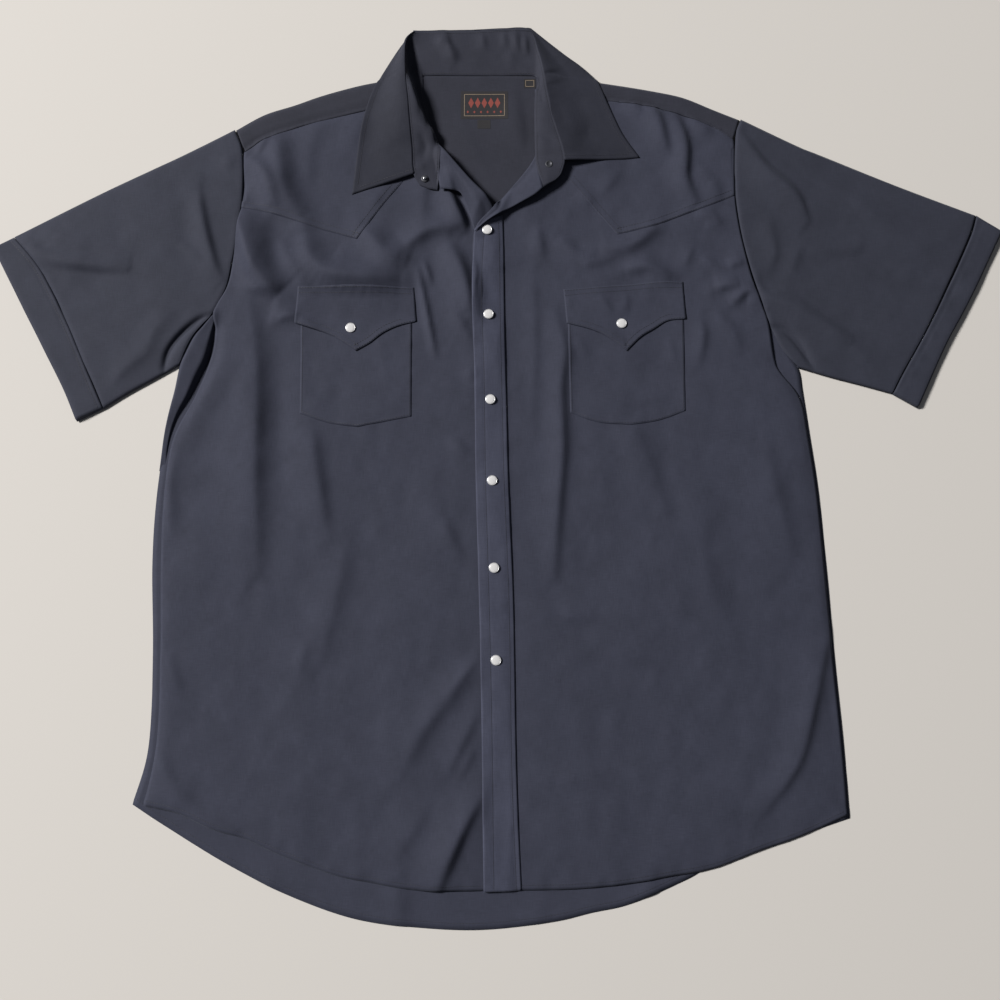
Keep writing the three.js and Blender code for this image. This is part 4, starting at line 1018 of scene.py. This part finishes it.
stand_rows = [
    [(46.5, 283, 12.8), (50, 285.5, 12.9), (54, 288, 12.6), (58, 290.5, 12.0)],
    [(43, 294, 12.2), (50, 295, 12.9), (57, 296, 12.6), (65, 298, 11.9)],
    [(40, 304, 11.0), (49, 305, 12.4), (58, 306, 12.5), (68.3, 307, 12.1)],
    [(38, 314.5, 10.2), (48, 314.5, 12.0), (58, 314.5, 12.6), (69.4, 314, 12.6)],
    [(37.5, 331, 9.8), (46, 331, 11.8), (56, 331, 12.5), (66.4, 331, 12.4)],
    [(37.2, 352, 9.2), (44, 352, 11.0), (52, 352.5, 11.9), (60, 353, 11.8)],
    [(37.2, 372, 8.2), (42.5, 372.5, 10.0), (48, 373, 11.0), (55, 374, 11.2)],
    [(38, 392, 6.0), (42, 393.5, 8.0), (46, 395, 9.4), (51, 397.5, 10.2)],
    [(40.4, 405, 3.4), (43, 410, 5.4), (45.4, 415.5, 7.2), (47.6, 422, 8.4)],
    [(39.4, 414.4, 1.7), (40.4, 424, 3.3), (41.6, 434, 4.8), (42.5, 444, 6.4)],
    [(31, 417.0, 1.1), (32, 432, 3.2), (32.6, 448, 4.2), (33, 468.5, 4.6)],
    [(2, 417.0, 1.1), (3, 433, 3.1), (4, 450, 4.2), (5, 470, 4.2)],
    [(-28, 417.0, 1.1), (-28, 433, 3.0), (-28, 450, 3.9), (-28, 468.4, 4.0)],
    [(-56, 417.0, 1.1), (-57, 433, 3.0), (-58, 450, 4.0), (-60, 467.6, 4.2)],
    [(-76, 417.0, 1.1), (-79, 434, 3.0), (-82, 450, 3.9), (-86, 467, 4.6)],
    [(-83.4, 416.2, 1.3), (-87.2, 432, 2.8), (-91.4, 449, 3.8), (-95.4, 466, 6.2)],
    [(-84.2, 412, 2.0), (-89, 425, 2.2), (-96, 440, 2.6), (-100.4, 448.4, 5.0), (-103.4, 452.4, 11.2)],
    [(-84.0, 404, 2.0), (-90, 411, 2.2), (-97.5, 420.4, 3.0), (-101.6, 424.6, 10.6), (-104, 428, 15.8)],
    [(-82.6, 393, 2.0), (-87, 396, 2.2), (-91.6, 399, 3.6), (-94.6, 398.2, 18.0), (-102.4, 404, 19.0)],
    [(-79.8, 380, 2.1), (-83.2, 381, 2.4), (-86.6, 382, 4.2), (-89.0, 379.6, 18.4), (-100, 383, 19.0)],
    [(-75.8, 364, 2.6), (-77.8, 364.3, 3.2), (-80, 364.6, 5.6), (-82.2, 362.4, 17.0), (-98.4, 363.4, 17.8)],
    [(-69.8, 347, 4.0), (-70.8, 347, 5.2), (-71.8, 347, 7.6), (-74.0, 345.8, 14.0), (-96.8, 345.8, 15.2)],
    [(-64.4, 329, 6.0), (-65.0, 329, 7.4), (-67.6, 329, 9.4), (-73, 329, 10.4), (-95.2, 329, 11.8)],
    [(-64.8, 309, 7.4), (-65.4, 309, 8.2), (-68, 309, 9.2), (-75.4, 309, 9.8), (-94.2, 309, 10.4)],
    [(-65.8, 293, 8.0), (-69, 293.5, 8.8), (-77, 294.5, 9.0), (-91.4, 296, 9.0)],
    [(-66.6, 281.5, 7.8), (-70, 282.2, 8.0), (-77, 283.5, 8.0), (-85.8, 287, 7.8)]]
x, y, z = loft(stand_rows, 26)
seam_side = np.column_stack([x[:, 0], y[:, 0]])
stand_dents = [
    Crease([(-66, 460), (-62, 452)], 1.8, 6, 2.4),
    Crease([(-61, 466), (-56, 448), (-50, 433)], 3.4, 8, 2.8),
    Crease([(-53, 452), (-46, 436)], 1.6, 5, 2.4),
    Crease([(-20, 464), (-17, 446)], 1.7, 7, 2.6),
    Crease([(4, 466), (6, 450)], 1.8, 5, 2.4),
    Crease([(17, 466), (19, 444)], 2.8, 6, 2.4),
    Crease([(27, 462), (29, 442)], 2.2, 5, 2.4),
    Crease([(10, 444), (14, 430)], 0.8, 6, 3),
    Crease([(-88, 372), (-80, 358), (-72, 352)], -2.0, 5, 4),
    Crease([(-86, 345), (-80, 330), (-83, 318)], -1.6, 5, 4),
    Crease([(-90, 310), (-80, 306)], 0.9, 4, 3),
    Crease([(44, 400), (46, 380)], -0.9, 4, 3),
    Crease([(40, 345), (58, 336)], -0.8, 4, 3),
    Crease([(40, 320), (68, 321)], -0.9, 2.5, 2.5)]
z = z + creased(x, y, stand_dents) + rumpled(x, y, 14, 0.35, 91) + rumpled(x, y, 6, 0.10, 92)
clear = 0.05 + 0.25 * np.clip(np.linspace(0, 6, x.shape[1]), 0, 1)
z = np.maximum(z, held_up(x, y, 0, True) + clear)
leaf_side = np.column_stack([x[:, -1], y[:, -1], z[:, -1]])
sewn_piece("collar_stand_band", "collar_stand", [(x, y, z)], stand_cloth,
           STAND_CLOTH)
stitching("collar_stand_stitches", [beside(leaf_side[4:-4, :2], 2.6), beside(seam_side[4:-4], -2.4)],
          ["collar_stand_band"])

# Collar leaf: the pointed double collar sewn to the top of the stand. It is folded under behind the neck,
# and its two wings lie out over the shoulders with a row of stitching inside their edges.
LEAF_CLOTH = 1.1
LEAF_LIFT = 0.6
LEAF_LOWEST = 3.3
LEAF_ROW = 5
leaf_cloth = woven_cotton("charcoal_leaf", (0.0196, 0.0210, 0.0312), -0.3)
back_middle = np.argmin(np.abs(leaf_side[:, 0] + 30))
wings = {
    "right": dict(
        seam=leaf_side[:back_middle], seam_y=(469.4, 313.6), settles=0.62, lap=-1.0,
        outer=[(34, 472.6), (51, 457.8), (71.4, 440.8), (88.6, 427.4), (102.6, 414), (107, 408), (115, 388.4),
               (123.4, 367.6), (133.4, 346), (150.6, 320.4)],
        dents=[Crease([(112, 356), (96, 346), (84, 330)], -1.0, 12, 8),
               Crease([(62, 380), (70, 352)], -0.8, 8, 6)]),
    "left": dict(
        seam=leaf_side[:back_middle:-1], seam_y=(466.2, 299.6), settles=0.95, lap=1.0,
        outer=[(-96.6, 468.2), (-111.8, 446.6), (-130.4, 414.6), (-138, 398.6), (-145, 378), (-150.2, 353.6),
               (-154, 322), (-158.6, 277.6)],
        dents=[Crease([(-136, 386), (-128, 372), (-112, 366)], 0.8, 9, 6),
               Crease([(-140, 330), (-120, 326)], 0.5, 9, 6)])}
FOLD_Y = 414.5
leaf_grids, leaf_lines = [], []
for side, wing in wings.items():
    seam_y = np.linspace(*wing["seam_y"], 84)[:, None]
    seam = wing["seam"]
    seam_x = np.interp(seam_y, seam[:, 1], seam[:, 0]) + wing["lap"]
    seam_z = np.interp(seam_y, seam[:, 1], seam[:, 2]) + 0.3
    outer = trail(wing["outer"], 83)
    u = np.linspace(0, 1, 37)
    x, y = seam_x * (1 - u) + outer[:, :1] * u, seam_y * (1 - u) + outer[:, 1:] * u
    rest = np.maximum(held_up(x, y, 26) + LEAF_LIFT, LEAF_LOWEST)
    settled = 0.5 + 0.5 * np.cos(np.pi * np.minimum(1, u / wing["settles"]))
    z = rest + (seam_z - rest[:, :1]) * settled
    uneven = rumpled(x, y, 26, 0.6, 95) + rumpled(x, y, 9, 0.16, 96)
    z += creased(x, y, wing["dents"]) + np.sin(np.pi * u) * uneven
    free = outer[outer[:, 1] < FOLD_Y]
    lower = np.column_stack([x[-1], y[-1]])
    fold = outer[outer[:, 1] > FOLD_Y - 3]
    z += turned_hem(x, y, np.vstack([free, lower[::-1]]), 6, 0.22)
    z -= 1.1 * np.exp(-(nearest(x, y, fold)[0] / 1.6) ** 2)
    z = np.maximum(z, held_up(x, y, 0) + 0.3)
    leaf_grids.append((x, y, z))
    for line, other in ((free, lower), (lower, free)):
        inner = beside(line, LEAF_ROW if (side == "left") == (line is free) else -LEAF_ROW)
        apart = np.minimum(nearest(*inner.T, other)[0], nearest(*inner.T, fold)[0])
        leaf_lines.append(inner[apart > 4.8])
for grid in leaf_grids:
    press(*grid)
# The rest of the leaf lies folded under behind the neck, and its fold shows along the top.
under_rows = [
    [(-129, 416, 1.5), (-60, 423, 1.2), (20, 423, 1.2), (101, 414, 1.5)],
    [(-116, 434, 1.8), (-60, 438, 1.6), (10, 438, 1.6), (74, 436, 1.8)],
    [(-98, 466, 2.0), (-60, 467, 1.9), (0, 468, 1.9), (34, 471, 2.0)]]
back_edge = leaf_side[(leaf_side[:, 1] > 463.5) & (leaf_side[:, 0] > -97)]
back_fold = [[(px, py - 1.6, pz - 0.8), (px, py + 0.5, pz - 0.45), (px, py + 2.1, pz - 1.4),
              (px, py + 2.5, pz - 2.2), (px, py + 1.0, 1.7)] for px, py, pz in back_edge[::3]]
leaf_grids += [loft(under_rows, 60, 6), loft(back_fold, 10)]
sewn_piece("collar_leaf_cloth", "collar_leaf", leaf_grids, leaf_cloth,
           LEAF_CLOTH)
stitching("collar_leaf_stitches", leaf_lines, ["collar_leaf_cloth"])

# Snaps: a pearl cap set in a rolled metal ring, pressed through the placket and through each flap. All eight
# are fastened.
SNAP_RADIUS = 5.3
PLACKET_SNAPS = [(-13.6, 236.4), (-12, 143.7), (-10, 52.3), (-8, -33), (-6, -122.5), (-4, -215)]


def metal(name, tone, roughness, metallic):
    """Metal of one tone."""
    finish, _, _, shader = shaded(name, roughness)
    shader.inputs["Base Color"].default_value = (*tone, 1)
    shader.inputs["Metallic"].default_value = metallic
    return finish


pearl, pearl_nodes, pearl_links, pearl_shader = shaded("pearl", 0.28)
pearl_shader.inputs["Coat Weight"].default_value = 0.5
shell = pearl_nodes.new("ShaderNodeTexNoise")
shell.inputs["Scale"].default_value = 260
shell.inputs["Distortion"].default_value = 2.2
toned(pearl_nodes, pearl_links, shell.outputs["Fac"], pearl_shader,
      (0.50, 0.505, 0.53), (0.74, 0.73, 0.71), 0.3, 0.65)
snap_steel = metal("snap_steel", (0.80, 0.80, 0.80), 0.38, 0.65)


def turned(name, profile, place, finish, sides=48):
    """A round piece made by turning a profile of (radius, height) about the upright line through a place."""
    angles = np.linspace(0, 2 * np.pi, sides, endpoint=False)
    px, py, pz = place
    places = [(px + r * np.cos(a), py + r * np.sin(a), pz + h) for r, h in profile for a in angles]
    faces = tube_faces(0, sides, len(profile))
    piece = made_mesh(name, (np.array(places) * MM).tolist(), faces, finish, True)
    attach(piece, "root")
    return piece


def seat(x, y, radius, on):
    """The height of the cloth under a round piece."""
    heights = []
    for r in (0, radius / 2, radius):
        for a in np.linspace(0, 2 * np.pi, 12, endpoint=False):
            hit = top_of(on, x + r * np.cos(a), y + r * np.sin(a))
            if hit:
                heights.append(hit.z / MM)
    return float(np.quantile(heights, 0.8))


ring_profile = [(5.1, -0.4), (5.3, 0.3), (5.25, 0.8), (5.0, 1.15), (4.7, 1.25), (4.45, 1.1), (4.4, 0.7)]
cap_profile = [(4.42, 0.5), (4.42, 0.95), (4.3, 1.12), (3.9, 1.25), (3.2, 1.35), (2.2, 1.44), (1.1, 1.48),
               (0.05, 1.5)]
snap_places = [(f"snap_{k + 1}", x, y, "placket_band") for k, (x, y) in enumerate(PLACKET_SNAPS)]
snap_places += [("pocket_snap_left", -157, 130, "pocket_flap_left_cloth"),
                ("pocket_snap_right", 128, 135, "pocket_flap_right_cloth")]
for name, x, y, on in snap_places:
    spot = (x, y, seat(x, y, SNAP_RADIUS, on))
    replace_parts(turned(name + "_cap", cap_profile, spot, pearl), name)
    turned(name + "_ring", ring_profile, spot, snap_steel)

# The unfastened collar snap: a darkened stud with a bright post on the left end of the stand, and a darkened
# socket on the right end.
COLLAR_SNAP_RADIUS = 4
dark_steel = metal("dark_steel", (0.045, 0.047, 0.056), 0.5, 0.4)
bright_steel = metal("bright_steel", (0.72, 0.73, 0.75), 0.22, 1.0)
stud_base = [(4.0, -0.4), (4.0, 0.35), (3.5, 0.65), (2.2, 0.75), (0.05, 0.78)]
stud_post = [(1.7, 0.5), (1.6, 1.2), (1.6, 2.0), (1.85, 2.4), (1.7, 2.8), (1.1, 3.05), (0.05, 3.1)]
socket_profile = [(4.0, -0.5), (4.0, 0.15), (3.6, 0.45), (2.8, 0.5), (2.4, 0.35), (2.1, 0.05), (0.05, 0.0)]
STUD_PLACE = (-80.5, 294)
SOCKET_PLACE = (52.5, 309.2)
spot = (*STUD_PLACE, seat(*STUD_PLACE, COLLAR_SNAP_RADIUS, "collar_stand_band"))
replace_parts(turned("stud_base", stud_base, spot, dark_steel), "collar_stud")
turned("stud_post", stud_post, spot, bright_steel, 24)
spot = (*SOCKET_PLACE, seat(*SOCKET_PLACE, COLLAR_SNAP_RADIUS, "collar_stand_band"))
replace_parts(turned("socket", socket_profile, spot, dark_steel), "collar_socket")

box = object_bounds()
{"cad": [list(corner) for corner in cad_box], "visual": [list(corner) for corner in box]}
